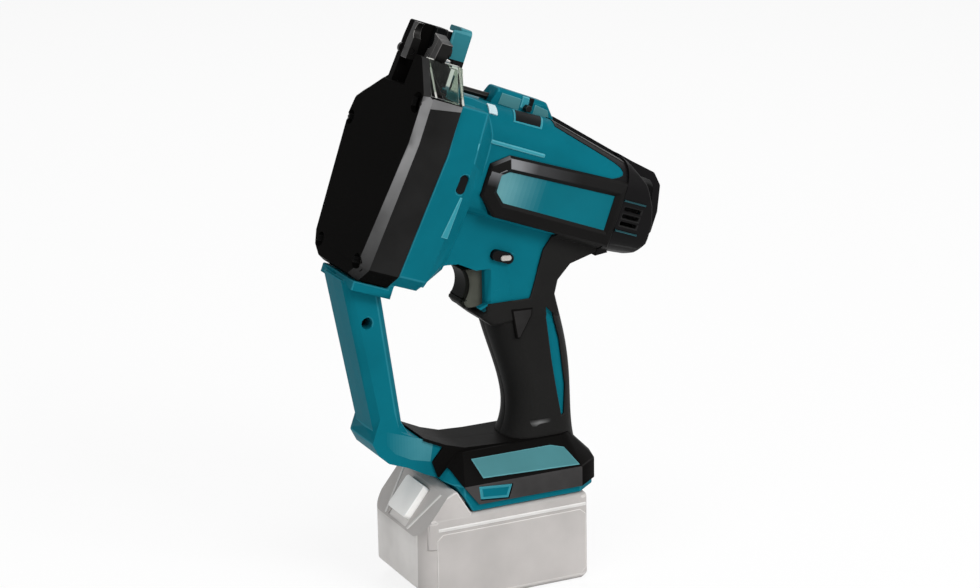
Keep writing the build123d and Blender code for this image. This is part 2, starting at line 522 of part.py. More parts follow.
with BuildPart() as moving_die_screw:
    add(drum(ARM_FRONT, ARM_BACK, 2.0, swung([(-11.2, 68)])[0]))
    add(drum(ARM_BACK, ARM_BACK + 1.6, 3.6, swung([(-11.2, 68)])[0]))
save(moving_die_screw.part, "moving_die_screw")

with BuildPart() as arm_pivot_pin:
    add(drum(COVER_WALL, CASE_BACK - 1, PIVOT_R, PIVOT))
save(arm_pivot_pin.part, "arm_pivot_pin")

with BuildPart() as roller_pin:
    add(drum(ARM_FRONT, ROLLER_BACK, ROLLER_PIN_R, ROLLER))
save(roller_pin.part, "roller_pin")

with BuildPart() as cam_roller:
    add(drum(ROLLER_FRONT, ROLLER_BACK, ROLLER_R, ROLLER, ROLLER_PIN_R + PLAY))
save(cam_roller.part, "cam_roller")

REST_FRONT, REST_BACK, LATCH_BACK = 18.6, 26.0, 33.5
REST_LEFT, REST_TOP = -15.0, 75.0
LATCH_PIN = (-14.0, 58.0)
LATCH_PIN_R = 2.0

with BuildPart() as rod_rest:
    add(head_block((REST_LEFT, 4), (37, REST_TOP), (REST_FRONT, REST_BACK)))
    add(head_block((-4, 4), (41, 60), (REST_BACK, LATCH_BACK)))
    add(drum(REST_FRONT - 1, REST_BACK + 1, ROD_R, (ROD_X, ROD_H)), mode=Mode.SUBTRACT)
    add(head_block((ROD_X - ROD_R, ROD_X + ROD_R), (ROD_H, 80), (REST_FRONT - 1, REST_BACK + 1)),
        mode=Mode.SUBTRACT)
    add(drum(REST_FRONT + 1, REST_BACK + 1, LATCH_PIN_R, LATCH_PIN), mode=Mode.SUBTRACT)
save(rod_rest.part, "rod_rest")

with BuildPart() as latch_pin:
    add(drum(REST_FRONT + 1, LATCH_BACK - 0.5, LATCH_PIN_R, LATCH_PIN))
save(latch_pin.part, "latch_pin")

LATCH_CHEEK, CHEEK_LOW, CHEEK_HIGH, CHEEK_FRONT = -15.4, 59.5, 77.0, 21.0
LATCH = [(-17.5, 55.5), (-11.6, 55.5), (-11.6, 75.6), (-0.5, 75.6), (-0.5, 79), (-15.5, 79), (-17.5, 77)]

with BuildPart() as rod_latch:
    extrude(panel(station(REST_BACK + 0.3), LATCH), amount=LATCH_BACK - REST_BACK - 0.3)
    add(head_block((LATCH[0][0], LATCH_CHEEK), (CHEEK_LOW, CHEEK_HIGH), (CHEEK_FRONT, LATCH_BACK)))
    add(drum(REST_BACK, LATCH_BACK + 1, LATCH_PIN_R + PLAY, LATCH_PIN), mode=Mode.SUBTRACT)
save(rod_latch.part, "rod_latch")

CHIP_OUT = [(-47.8, SHOULDER_H), (-31.5, 57), (-26, 57), (-26, SHOULDER_H)]
CHIP_IN = [(-44.6, SHOULDER_H - 1), (-30.3, 54.6), (-21, 54.6), (-21, SHOULDER_H - 1)]
CHIP_FRONT, CHIP_BACK = 4.2, 27.0

with BuildPart() as chip_guard:
    extrude(panel(station(CHIP_FRONT), CHIP_OUT), amount=CHIP_BACK - CHIP_FRONT)
    extrude(panel(station(CHIP_FRONT - 1), CHIP_IN), amount=CHIP_BACK - CHIP_FRONT - 1.4, mode=Mode.SUBTRACT)
    add(head_block((-30, -10), (30, 60), (CHIP_FRONT - 1, 19)), mode=Mode.SUBTRACT)
save(chip_guard.part, "chip_guard")

# Drive: cam and cam gear, two planetary stages, motor
PRESSURE = radians(25)
ADDENDUM, DEDENDUM, SLACK = 0.8, 1.0, 0.09
CAM_MODULE, CAM_TEETH, PINION_TEETH = 1.5, 38, 10
SUN_TEETH, PLANET_TEETH, RING_TEETH, PLANET_MODULE = 12, 18, 48, 0.9
PLANET_ORBIT = PLANET_MODULE * (SUN_TEETH + PLANET_TEETH) / 2
GEAR_FRONT, GEAR_BACK, CAM_FRONT, CAM_BACK = 27.0, 35.0, 17.0, 24.0
CAM_STEP = 7.5


def gear_points(teeth, module, tip=ADDENDUM, root=DEDENDUM, slack=SLACK, phase=0.0):
    """Involute gear corners, three a flank; phase is the angle of a tooth's middle in degrees."""
    pitch = teeth * module / 2
    base = pitch * cos(PRESSURE)
    half = pi / (2 * teeth) - slack / pitch + tan(PRESSURE) - PRESSURE
    flank = []
    for reach in (-root, 0, tip):
        radius = pitch + reach * module
        roll = acos(min(1, base / radius))
        flank.append((radius, half - tan(roll) + roll))
    points = []
    for tooth in range(teeth):
        middle = radians(phase) + 2 * pi * tooth / teeth
        points += [(r * cos(middle - a), r * sin(middle - a)) for r, a in flank]
        points += [(r * cos(middle + a), r * sin(middle + a)) for r, a in reversed(flank)]
    return points


def placed(points, centre):
    return [(x + centre[0], y + centre[1]) for x, y in points]


def cam_points():
    """A spiral that swings the arm evenly through the cut, then drops back to its low radius."""
    points = []
    for step in range(int(CAM_SWEEP / CAM_STEP) + 1):
        turn = step * CAM_STEP
        x, h = swung([ROLLER], -ARM_SWING * turn / CAM_SWEEP)[0]
        dx, dh = x - CAM_AXIS[0], h - CAM_AXIS[1]
        angle = atan2(dh, dx) - radians(turn)
        reach = hypot(dx, dh) - ROLLER_R - RUN
        points.append((reach * cos(angle), reach * sin(angle)))
    first, last = points[0], points[-1]
    low = hypot(*first) - 0.5
    end = atan2(last[1], last[0])
    points.append((hypot(*last) * cos(end - radians(8)), hypot(*last) * sin(end - radians(8))))
    start = atan2(first[1], first[0])
    for after in (52, 44, 36, 28, 20, 12):
        points.append((low * cos(start + radians(after)), low * sin(start + radians(after))))
    return points


with BuildPart() as cam_gear:
    teeth = gear_points(CAM_TEETH, CAM_MODULE, phase=90 + 180 / CAM_TEETH)
    extrude(panel(station(GEAR_FRONT), placed(teeth, CAM_AXIS)), amount=GEAR_BACK - GEAR_FRONT)
    add(drum(GEAR_FRONT - 1, GEAR_BACK + 1, SHAFT_R, CAM_AXIS), mode=Mode.SUBTRACT)
    for hole in range(6):
        middle = (CAM_AXIS[0] + 16.5 * cos(hole * pi / 3), CAM_AXIS[1] + 16.5 * sin(hole * pi / 3))
        add(drum(GEAR_FRONT - 1, GEAR_BACK + 1, 4.2, middle), mode=Mode.SUBTRACT)
save(cam_gear.part, "cam_gear")

with BuildPart() as cam:
    extrude(panel(station(CAM_FRONT), placed(cam_points(), CAM_AXIS)), amount=CAM_BACK - CAM_FRONT)
    add(drum(CAM_BACK, GEAR_FRONT, 8, CAM_AXIS))
    add(drum(CAM_FRONT - 1, GEAR_FRONT + 1, SHAFT_R, CAM_AXIS), mode=Mode.SUBTRACT)
save(cam.part, "cam")

with BuildPart() as cam_shaft:
    add(drum(2.4, CASE_BACK - 1.2, SHAFT_R, CAM_AXIS))
save(cam_shaft.part, "cam_shaft")


def bearing(start, end, outer_r, bore, centre=(0, 0)):
    """A ball bearing's rings with their shields set back."""
    with BuildPart() as body:
        add(drum(start, end, outer_r, centre, bore))
        for face in (start, end):
            add(drum(face - 0.4, face + 0.4, outer_r - 1.6, centre, bore + 1.6), mode=Mode.SUBTRACT)
    return body.part


with BuildPart() as bearings:
    add(bearing(2.2, ARM_FRONT - 0.4, BEARING_R, SHAFT_R + PLAY, CAM_AXIS))
    add(bearing(CASE_FLOOR, CASE_BACK - 0.9, BEARING_R, SHAFT_R + PLAY, CAM_AXIS))
    add(bearing(CASE_FLOOR + 0.4, CASE_BACK - 1, BEARING_R, 5.05))
    add(bearing(*FRONT_BEARING, SHAFT_R + PLAY))
    add(bearing(*REAR_BEARING, TAIL_R + PLAY))
save(bearings.part, "bearings")

STAGE_TWO, STAGE_ONE = 46.8, 59.8
CARRIER_R, CARRIER_DEEP, PLANET_PIN_R, PLANET_LONG = 17.5, 3.0, 2.5, 8.2


def carrier(start):
    """A planet carrier: a disc with three pins to the back."""
    with BuildPart() as body:
        add(drum(start, start + CARRIER_DEEP, CARRIER_R))
        for spot in range(3):
            middle = (PLANET_ORBIT * cos(spot * 2 * pi / 3), PLANET_ORBIT * sin(spot * 2 * pi / 3))
            add(drum(start + CARRIER_DEEP, start + CARRIER_DEEP + PLANET_LONG + 0.8, PLANET_PIN_R, middle))
    return body.part


with BuildPart() as output_carrier:
    add(carrier(STAGE_TWO))
    add(drum(GEAR_FRONT - 0.5, STAGE_TWO, 5.0))
    extrude(panel(station(GEAR_FRONT - 0.5), gear_points(PINION_TEETH, CAM_MODULE, phase=270)),
            amount=GEAR_BACK - GEAR_FRONT + 1)
save(output_carrier.part, "output_carrier")

with BuildPart() as first_carrier:
    add(carrier(STAGE_ONE))
    extrude(panel(station(STAGE_TWO + CARRIER_DEEP + 0.5), gear_points(SUN_TEETH, PLANET_MODULE)),
            amount=STAGE_ONE - STAGE_TWO - CARRIER_DEEP - 0.5)
save(first_carrier.part, "first_carrier")

for stage, start in ((2, STAGE_TWO), (1, STAGE_ONE)):
    for spot in range(3):
        angle = spot * 120
        middle = (PLANET_ORBIT * cos(radians(angle)), PLANET_ORBIT * sin(radians(angle)))
        teeth = gear_points(PLANET_TEETH, PLANET_MODULE, phase=angle + 180 + 180 / PLANET_TEETH)
        with BuildPart() as planet:
            extrude(panel(station(start + CARRIER_DEEP + 0.4), placed(teeth, middle)), amount=PLANET_LONG)
            add(drum(start, start + 20, PLANET_PIN_R + PLAY, middle), mode=Mode.SUBTRACT)
        save(planet.part, f"planet_{stage}_{spot + 1}")

with BuildPart() as ring_gear:
    add(drum(RING_START, RING_END, RING_R))
    teeth = gear_points(RING_TEETH, PLANET_MODULE, DEDENDUM, ADDENDUM, -SLACK, 180 / RING_TEETH)
    extrude(panel(station(RING_START - 1), teeth), amount=RING_END - RING_START + 2, mode=Mode.SUBTRACT)
save(ring_gear.part, "ring_gear")

STATOR_FRONT, STATOR_BACK, STATOR_BORE = 92.0, 128.0, 14.0
POLES = 6

with BuildPart() as stator:
    add(drum(STATOR_FRONT, STATOR_BACK, STATOR_R, (0, 0), 19.5))
    for pole in range(POLES):
        with BuildSketch(station(STATOR_FRONT)):
            with PolarLocations(0, 1, start_angle=pole * 360 / POLES):
                with Locations((17.2, 0)):
                    Rectangle(5, 4.4)
                with Locations((15.3, 0)):
                    Rectangle(1.8, 11)
        extrude(amount=STATOR_BACK - STATOR_FRONT)
    add(drum(STATOR_FRONT - 1, STATOR_BACK + 1, STATOR_BORE), mode=Mode.SUBTRACT)
save(stator.part, "stator")

COIL_FRONT, COIL_BACK = 88.0, 132.0

with BuildPart() as stator_coils:
    for pole in range(POLES):
        with BuildSketch(station(COIL_FRONT)):
            with PolarLocations(0, 1, start_angle=pole * 360 / POLES):
                with Locations((17.6, 0)):
                    Rectangle(2.6, 9)
        extrude(amount=COIL_BACK - COIL_FRONT)
        with BuildSketch(station(STATOR_FRONT)):
            with PolarLocations(0, 1, start_angle=pole * 360 / POLES):
                with Locations((17.6, 0)):
                    Rectangle(4, 4.4)
        extrude(amount=STATOR_BACK - STATOR_FRONT, mode=Mode.SUBTRACT)
save(stator_coils.part, "stator_coils")

ROTOR_R = 11.2

with BuildPart() as rotor_core:
    add(drum(STATOR_FRONT, STATOR_BACK, ROTOR_R, (0, 0), SHAFT_R))
save(rotor_core.part, "rotor_core")

with BuildPart() as rotor_magnets:
    add(drum(STATOR_FRONT, STATOR_BACK, ROTOR_R + 2, (0, 0), ROTOR_R))
    for gap in range(4):
        with BuildSketch(station(STATOR_FRONT - 1)):
            with PolarLocations(0, 1, start_angle=gap * 90):
                with Locations((12, 0)):
                    Rectangle(6, 1.6)
        extrude(amount=STATOR_BACK - STATOR_FRONT + 2, mode=Mode.SUBTRACT)
save(rotor_magnets.part, "rotor_magnets")

with BuildPart() as rotor_shaft:
    add(drum(STAGE_ONE + CARRIER_DEEP + 0.5, 149, SHAFT_R))
    add(drum(149, 157, TAIL_R))
    extrude(panel(station(STAGE_ONE + CARRIER_DEEP + 0.5), gear_points(SUN_TEETH, PLANET_MODULE)), amount=9.5)
save(rotor_shaft.part, "rotor_shaft")

FAN_FRONT, FAN_BACK, FAN_R, BLADES = 135.0, 145.0, 20.5, 11

with BuildPart() as cooling_fan:
    add(drum(FAN_FRONT, FAN_FRONT + 1.5, FAN_R))
    add(drum(FAN_FRONT, FAN_BACK, 7))
    with BuildSketch(station(FAN_FRONT + 1.5)):
        with PolarLocations(13.2, BLADES):
            Rectangle(13.5, 1.2, rotation=25)
    extrude(amount=FAN_BACK - FAN_FRONT - 1.5)
    add(drum(FAN_FRONT - 1, FAN_BACK + 1, SHAFT_R), mode=Mode.SUBTRACT)
save(cooling_fan.part, "cooling_fan")


# Springs: round wire wound on a helix from one end plane to the other
def spring(start, direction, length, radius, wire, turns):
    """A coil spring; the wire is given by its radius."""
    with BuildPart() as body:
        with BuildLine() as path:
            Helix(length / turns, length, radius, center=start, direction=direction)
        with BuildSketch(Plane(origin=path.line @ 0, z_dir=path.line % 0)):
            Circle(wire)
        sweep(path=path.line, is_frenet=True)
    return body.part


# Trigger group: trigger, return spring, switch and the cross lock
TRIGGER_BACK, SPRING_Z = 5.0, 193.5
SWITCH_FRONT, SWITCH_BACK, SWITCH_LOW, SWITCH_HIGH = 11.6, 40.0, 184.0, 207.0
LOCK_LEFT, LOCK_RIGHT = -21.4, 16.6


def along(start, end, y, z, radius):
    """A round bar along X."""
    with BuildPart() as body:
        with BuildSketch(Plane.YZ.offset(start)):
            with Locations((y, z)):
                Circle(radius)
        extrude(amount=end - start)
    return body.part


with BuildPart() as trigger:
    with BuildSketch(Plane.XZ):
        with BuildLine():
            ThreePointArc((-14, TRIGGER_HIGH), (-10.6, 194.5), (-15.2, 185))
            Polyline((-15.2, 185), (-12.5, TRIGGER_LOW), (TRIGGER_BACK, TRIGGER_LOW),
                     (TRIGGER_BACK, TRIGGER_HIGH), (-14, TRIGGER_HIGH))
        make_face()
    extrude(amount=TRIGGER_HALF, both=True)
    chamfer(trigger.edges().filter_by(lambda e: e.center().X < -9.5 and abs(e.center().Y) > 10), 2.5)
    add(block((3.4, TRIGGER_BACK), (-13, 13), (178.8, 208)))
    add(along(-7, TRIGGER_BACK + 1, 0, SPRING_Z, 4.8), mode=Mode.SUBTRACT)
save(trigger.part, "trigger")

save(spring((-6.5, 0, SPRING_Z), (1, 0, 0), SWITCH_FRONT + 6, 3.6, 0.5, 7), "trigger_spring")

with BuildPart() as power_switch:
    add(block((SWITCH_FRONT, SWITCH_BACK), (-ZONE_HALF + WALL, ZONE_HALF - WALL), (SWITCH_LOW, SWITCH_HIGH)))
    add(block((SWITCH_FRONT + 4, SWITCH_BACK - 4), (-12, 12), (SWITCH_LOW - 4, SWITCH_LOW)))
save(power_switch.part, "power_switch")

with BuildPart() as lock_button:
    add(oval(LOCK_LONG / 2, LOCK_HIGH / 2, LOCK_RIGHT, LOCK_LEFT))
save(lock_button.part, "lock_button")

ARM_SPRING_START = tuple(station(ARM_BACK + 1.1).from_local_coords((PIVOT[0], PIVOT[1], 0)))
save(spring(ARM_SPRING_START, (C, 0, -S), 7.5, PIVOT_R + 1.25, 0.9, 3), "arm_spring")

# Electrics and the stored key
CONTACT_ROWS = (-14.0, -4.0, 4.0, 14.0)

with BuildPart() as controller:
    add(block((28, 48), (-9, 9), (84, 140)))
    for fin in range(5):
        add(block((48, 50), (-8, 8), (98 + 8 * fin, 101 + 8 * fin)))
save(controller.part, "controller")

with BuildPart() as terminal_block:
    add(block((0, 46), (-18, 18), (RAIL_ROOF, 84)))
    for y in CONTACT_ROWS:
        add(block((8, 26), (y - 0.4, y + 0.4), (61.5, RAIL_ROOF)))
save(terminal_block.part, "terminal_block")

with BuildPart() as hex_key:
    with BuildSketch(station(KEY_FRONT)):
        with Locations((0, KEY_H)):
            RegularPolygon(KEY_FLATS / 2, 6, major_radius=False)
    extrude(amount=KEY_ELBOW - KEY_FRONT)
    with BuildSketch(SIDE):
        with Locations((KEY_ELBOW - KEY_FLATS / 2, KEY_H)):
            RegularPolygon(KEY_FLATS / 2, 6, major_radius=False)
    extrude(amount=13)
save(hex_key.part, "hex_key")

# Battery pack
PACK_SPLIT, PACK_WALL, PACK_NOSE_ROUND, PACK_TAIL_ROUND = 38.0, 2.5, 12.0, 5.0
PACK_FRONT = -BATTERY_LENGTH / 2
SLOPE_RUN, SLOPE_RISE, SLOPE_START = 20.0, 25.0, 46.0
PACK_BROW = [(PACK_FRONT, 42), (PACK_FRONT, SLOPE_START), (PACK_FRONT + SLOPE_RUN, SLOPE_START + SLOPE_RISE),
             (-34, 73), (-31.8, 73), (-22.9, 58), (-22.9, 42)]
NOSE_SLICE = [(PACK_FRONT - SLOPE_RUN, SLOPE_START - SLOPE_RISE),
              (PACK_FRONT + 2 * SLOPE_RUN, SLOPE_START + 2 * SLOPE_RISE),
              (PACK_FRONT - SLOPE_RUN, SLOPE_START + 2 * SLOPE_RISE)]
BROW_HALF, ROOM_TOP, SCREW_FLOOR = 36.5, 55.5, 12.0
PACK_BEVEL, SOLE_BEVEL = 13.0, 3.0
SLOPE_LONG = hypot(SLOPE_RUN, SLOPE_RISE)
SLOPE = Plane(origin=(PACK_FRONT + SLOPE_RUN / 2, 0, SLOPE_START + SLOPE_RISE / 2), x_dir=(0, -1, 0),
              z_dir=(-SLOPE_RISE / SLOPE_LONG, 0, SLOPE_RUN / SLOPE_LONG))
BUTTON_HALF, BUTTON_LOW, BUTTON_HIGH = 12.6, -9.8, 13.2
BUTTON_DEEP, BUTTON_PROUD = 6.6, 4.4
POCKET_LOW, POCKET_HIGH, POCKET_DEEP = -14.4, 13.6, 7.2
CELL_R, CELL_LONG, CELL_PITCH = 9.2, 65.0, 19.0
CELL_ROWS = (12.4, 31.4)
CELL_SPOTS = [((n - 2) * CELL_PITCH, z) for n in range(5) for z in CELL_ROWS]
PACK_SCREWS = [(-52.0, -22.0), (-52.0, 22.0), (52.0, -31.0), (52.0, 31.0)]
BOARD_LOW, BOARD_HIGH = 41.5, 43.1


def upright(x, y, radius, low, high):
    """A round bar up the pack."""
    with BuildPart() as body:
        with BuildSketch(Plane.XY.offset(low)):
            with Locations((x, y)):
                Circle(radius)
        extrude(amount=high - low)
    return body.part


def pack_plan(z, inset):
    """The pack's outline at a height: wide round corners in front, small ones behind."""
    with BuildSketch(Plane.XY.offset(z)) as plan:
        Rectangle(BATTERY_LENGTH - 2 * inset, BATTERY_WIDTH - 2 * inset)
        corners = plan.vertices().sort_by(Axis.X)
        fillet(corners[:2], PACK_NOSE_ROUND - inset)
        fillet(plan.vertices().sort_by(Axis.X)[-2:], PACK_TAIL_ROUND - inset)
    return plan.sketch


def nose_bevel(inset):
    """The wedge cut off under the pack's nose."""
    reach = PACK_BEVEL - inset * (2 ** 0.5)
    corner = (PACK_FRONT - 1, -1)
    with BuildPart() as wedge:
        extrude(panel(Plane.XZ, [corner, (PACK_FRONT + reach + 1, -1), (PACK_FRONT - 1, reach + 1)]),
                amount=BATTERY_WIDTH, both=True)
    return wedge.part


with BuildPart() as lower_room:
    extrude(pack_plan(PACK_WALL, PACK_WALL), amount=PACK_SPLIT)
    add(nose_bevel(-PACK_WALL), mode=Mode.SUBTRACT)

with BuildPart() as battery_lower:
    extrude(pack_plan(0, 0), amount=PACK_SPLIT)
    chamfer(battery_lower.faces().sort_by(Axis.Z)[0].edges(), SOLE_BEVEL)
    add(nose_bevel(0), mode=Mode.SUBTRACT)
    add(lower_room.part, mode=Mode.SUBTRACT)
    for x, y in PACK_SCREWS:
        add(upright(x, y, 3.7, PACK_WALL - 0.1, PACK_SPLIT))
    add(nose_bevel(0), mode=Mode.SUBTRACT)
    for x, y in PACK_SCREWS:
        add(upright(x, y, 1.6, -1, PACK_SPLIT + 1), mode=Mode.SUBTRACT)
        add(upright(x, y, 2.9, -1, SCREW_FLOOR), mode=Mode.SUBTRACT)
save(battery_lower.part, "battery_lower")

with BuildPart() as button_box:
    with BuildSketch(SLOPE.offset(-0.5)):
        with Locations((0, (POCKET_LOW + POCKET_HIGH) / 2)):
            Rectangle(2 * BUTTON_HALF + 6, POCKET_HIGH - POCKET_LOW + 4)
    extrude(amount=-POCKET_DEEP - 2)
    add(block((PACK_FRONT + 1, -20), (-20, 20), (PACK_SPLIT + 0.2, 80)), mode=Mode.INTERSECT)

with BuildPart() as upper_room:
    extrude(pack_plan(PACK_SPLIT - 1, PACK_WALL), amount=ROOM_TOP - PACK_SPLIT + 1)
    extrude(panel(Plane.XZ, NOSE_SLICE, -PACK_WALL), amount=60, both=True, mode=Mode.SUBTRACT)

with BuildPart() as battery_upper:
    extrude(pack_plan(PACK_SPLIT, 0), amount=BATTERY_TOP - PACK_SPLIT)
    chamfer(battery_upper.faces().sort_by(Axis.Z)[-1].edges(), 2.5)
    extrude(panel(Plane.XZ, PACK_BROW), amount=BROW_HALF, both=True)
    extrude(pack_plan(PACK_SPLIT, 0), amount=60, mode=Mode.INTERSECT)
    add(block((-30, 50), (-RAIL_SLOT + 0.4, RAIL_SLOT - 0.4), (BATTERY_TOP - 1, RAIL_STEP + 0.5)))
    add(block((-30, 50), (-RAIL_ROOM + 0.4, RAIL_ROOM - 0.4), (RAIL_STEP + 0.4, RAIL_ROOF - 0.4)))
    extrude(panel(Plane.XZ, NOSE_SLICE), amount=60, both=True, mode=Mode.SUBTRACT)
    add(upper_room.part, mode=Mode.SUBTRACT)
    add(button_box.part)
    for x, y in PACK_SCREWS:
        add(upright(x, y, 3.7, PACK_SPLIT, PACK_SPLIT + 11))
        add(upright(x, y, 1.5, PACK_SPLIT - 1, PACK_SPLIT + 10), mode=Mode.SUBTRACT)
    for y in CONTACT_ROWS:
        add(block((5, 60), (y - 1.7, y + 1.7), (BATTERY_TOP + 0.2, 70)), mode=Mode.SUBTRACT)
        add(block((6, 28), (y - 1.7, y + 1.7), (50, BATTERY_TOP + 1)), mode=Mode.SUBTRACT)
    with BuildSketch(SLOPE):
        with Locations((0, (POCKET_LOW + POCKET_HIGH) / 2)):
            Rectangle(2 * BUTTON_HALF + 0.8, POCKET_HIGH - POCKET_LOW)
    extrude(amount=POCKET_DEEP, both=True, mode=Mode.SUBTRACT)
save(battery_upper.part, "battery_upper")

SPRING_DEEP, BUTTON_BORE = -3.0, 7.0
RISE = (SLOPE_RUN / SLOPE_LONG, 0, SLOPE_RISE / SLOPE_LONG)
BORE_START = tuple(SLOPE.from_local_coords((0, BUTTON_LOW - 1, SPRING_DEEP)))
COIL_START = tuple(SLOPE.from_local_coords((0, POCKET_LOW + 0.5, SPRING_DEEP)))

with BuildPart() as battery_button:
    with BuildSketch(SLOPE.offset(-BUTTON_DEEP)):
        with Locations((0, (BUTTON_LOW + BUTTON_HIGH) / 2)):
            RectangleRounded(2 * BUTTON_HALF, BUTTON_HIGH - BUTTON_LOW, 2.5)
    extrude(amount=BUTTON_DEEP + BUTTON_PROUD)
    with BuildSketch(Plane(origin=BORE_START, z_dir=RISE)):
        Circle(2.8)
    extrude(amount=BUTTON_BORE + 1, mode=Mode.SUBTRACT)
save(battery_button.part, "battery_button")

save(spring(COIL_START, RISE, BUTTON_LOW + BUTTON_BORE - POCKET_LOW - 1, 2.1, 0.4, 6), "button_spring")

with BuildPart() as battery_cells:
    for x, z in CELL_SPOTS:
        add(across(x, z, CELL_R, CELL_LONG / 2, -CELL_LONG / 2))
        add(across(x, z, 4, CELL_LONG / 2 + 0.8, CELL_LONG / 2))
save(battery_cells.part, "battery_cells")

with BuildPart() as cell_holders:
    for low, high in ((-34.8, -24), (24, 34.8)):
        add(block((-43.5, 47.5), (low, high), (PACK_WALL, BOARD_LOW)))
    for x, z in CELL_SPOTS:
        add(across(x, z, CELL_R, CELL_LONG / 2, -CELL_LONG / 2), mode=Mode.SUBTRACT)
        add(across(x, z, 7, 40, -40), mode=Mode.SUBTRACT)
save(cell_holders.part, "cell_holders")

with BuildPart() as battery_contacts:
    add(block((-40, 40), (-30, 30), (BOARD_LOW, BOARD_HIGH)))
    for y in CONTACT_ROWS:
        add(block((8, 26), (y - 1.4, y + 1.4), (BOARD_HIGH, 46)))
        add(block((8, 26), (y - 1.4, y - 0.8), (BOARD_HIGH, 66)))
        add(block((8, 26), (y + 0.8, y + 1.4), (BOARD_HIGH, 66)))
save(battery_contacts.part, "battery_contacts")

with BuildPart() as battery_screws:
    for x, y in PACK_SCREWS:
        add(upright(x, y, 2.7, SCREW_FLOOR - 2.4, SCREW_FLOOR))
        add(upright(x, y, 1.45, SCREW_FLOOR, PACK_SPLIT + 9))
save(battery_screws.part, "battery_screws")
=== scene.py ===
import bmesh
import bpy
import json
from math import cos, pi, radians, sin
from mathutils import Matrix, Vector
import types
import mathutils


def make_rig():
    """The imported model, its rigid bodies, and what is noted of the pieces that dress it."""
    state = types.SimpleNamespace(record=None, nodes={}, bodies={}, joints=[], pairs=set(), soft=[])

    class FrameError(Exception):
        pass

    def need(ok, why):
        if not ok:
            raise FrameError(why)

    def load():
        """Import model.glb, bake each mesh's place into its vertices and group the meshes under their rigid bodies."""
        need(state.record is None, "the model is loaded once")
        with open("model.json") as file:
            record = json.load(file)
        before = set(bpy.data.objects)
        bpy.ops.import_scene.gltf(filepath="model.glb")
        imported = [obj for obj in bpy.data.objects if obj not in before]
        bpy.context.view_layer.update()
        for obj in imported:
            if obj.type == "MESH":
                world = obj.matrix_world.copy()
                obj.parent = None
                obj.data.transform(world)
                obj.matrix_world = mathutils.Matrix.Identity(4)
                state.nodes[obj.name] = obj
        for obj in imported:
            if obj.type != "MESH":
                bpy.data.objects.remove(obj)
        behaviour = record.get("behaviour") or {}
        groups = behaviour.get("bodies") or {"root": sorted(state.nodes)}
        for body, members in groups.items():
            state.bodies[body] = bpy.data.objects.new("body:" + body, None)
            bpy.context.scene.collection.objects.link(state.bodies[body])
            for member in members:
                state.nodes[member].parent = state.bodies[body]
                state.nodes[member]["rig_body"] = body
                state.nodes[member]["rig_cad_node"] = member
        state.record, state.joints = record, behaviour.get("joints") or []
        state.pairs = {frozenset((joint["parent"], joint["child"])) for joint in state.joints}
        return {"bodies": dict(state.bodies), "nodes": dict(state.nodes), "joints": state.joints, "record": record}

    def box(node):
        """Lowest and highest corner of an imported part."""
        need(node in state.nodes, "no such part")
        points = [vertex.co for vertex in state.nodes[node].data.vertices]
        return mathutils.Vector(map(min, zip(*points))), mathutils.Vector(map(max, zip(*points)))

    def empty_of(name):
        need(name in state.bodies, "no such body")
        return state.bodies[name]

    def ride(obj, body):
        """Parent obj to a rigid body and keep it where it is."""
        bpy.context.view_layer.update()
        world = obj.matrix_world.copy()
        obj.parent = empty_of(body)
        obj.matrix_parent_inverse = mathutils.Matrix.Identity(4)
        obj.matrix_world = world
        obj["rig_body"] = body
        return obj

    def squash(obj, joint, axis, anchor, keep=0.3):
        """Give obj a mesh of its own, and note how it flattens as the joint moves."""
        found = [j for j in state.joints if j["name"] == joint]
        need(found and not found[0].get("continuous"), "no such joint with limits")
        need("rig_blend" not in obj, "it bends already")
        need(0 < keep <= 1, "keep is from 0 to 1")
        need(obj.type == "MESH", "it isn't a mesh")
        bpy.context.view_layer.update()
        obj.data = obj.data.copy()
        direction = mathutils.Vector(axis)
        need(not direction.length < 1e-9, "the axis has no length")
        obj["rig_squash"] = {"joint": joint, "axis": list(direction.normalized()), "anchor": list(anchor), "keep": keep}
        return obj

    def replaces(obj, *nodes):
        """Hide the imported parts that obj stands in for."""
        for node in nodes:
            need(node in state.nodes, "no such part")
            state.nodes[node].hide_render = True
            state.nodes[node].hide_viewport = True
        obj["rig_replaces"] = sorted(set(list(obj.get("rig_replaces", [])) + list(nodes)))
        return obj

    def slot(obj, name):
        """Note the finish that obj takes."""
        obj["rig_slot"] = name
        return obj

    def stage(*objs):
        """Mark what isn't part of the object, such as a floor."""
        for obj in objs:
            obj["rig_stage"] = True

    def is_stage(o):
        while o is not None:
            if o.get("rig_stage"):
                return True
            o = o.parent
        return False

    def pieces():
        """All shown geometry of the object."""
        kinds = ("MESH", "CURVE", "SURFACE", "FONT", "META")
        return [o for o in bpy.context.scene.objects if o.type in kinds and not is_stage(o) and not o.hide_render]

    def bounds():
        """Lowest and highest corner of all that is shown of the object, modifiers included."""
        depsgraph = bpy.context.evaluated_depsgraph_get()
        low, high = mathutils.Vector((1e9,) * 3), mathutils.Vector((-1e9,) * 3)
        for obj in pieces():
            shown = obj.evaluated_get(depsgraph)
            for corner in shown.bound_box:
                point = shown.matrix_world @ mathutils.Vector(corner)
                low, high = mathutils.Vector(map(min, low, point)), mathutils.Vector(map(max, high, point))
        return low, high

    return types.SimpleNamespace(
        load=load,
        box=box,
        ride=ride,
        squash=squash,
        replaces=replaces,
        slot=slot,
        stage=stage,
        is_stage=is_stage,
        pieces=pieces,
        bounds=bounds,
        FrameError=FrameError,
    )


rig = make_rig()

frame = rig.load()
cad_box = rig.bounds()
nodes = frame["nodes"]

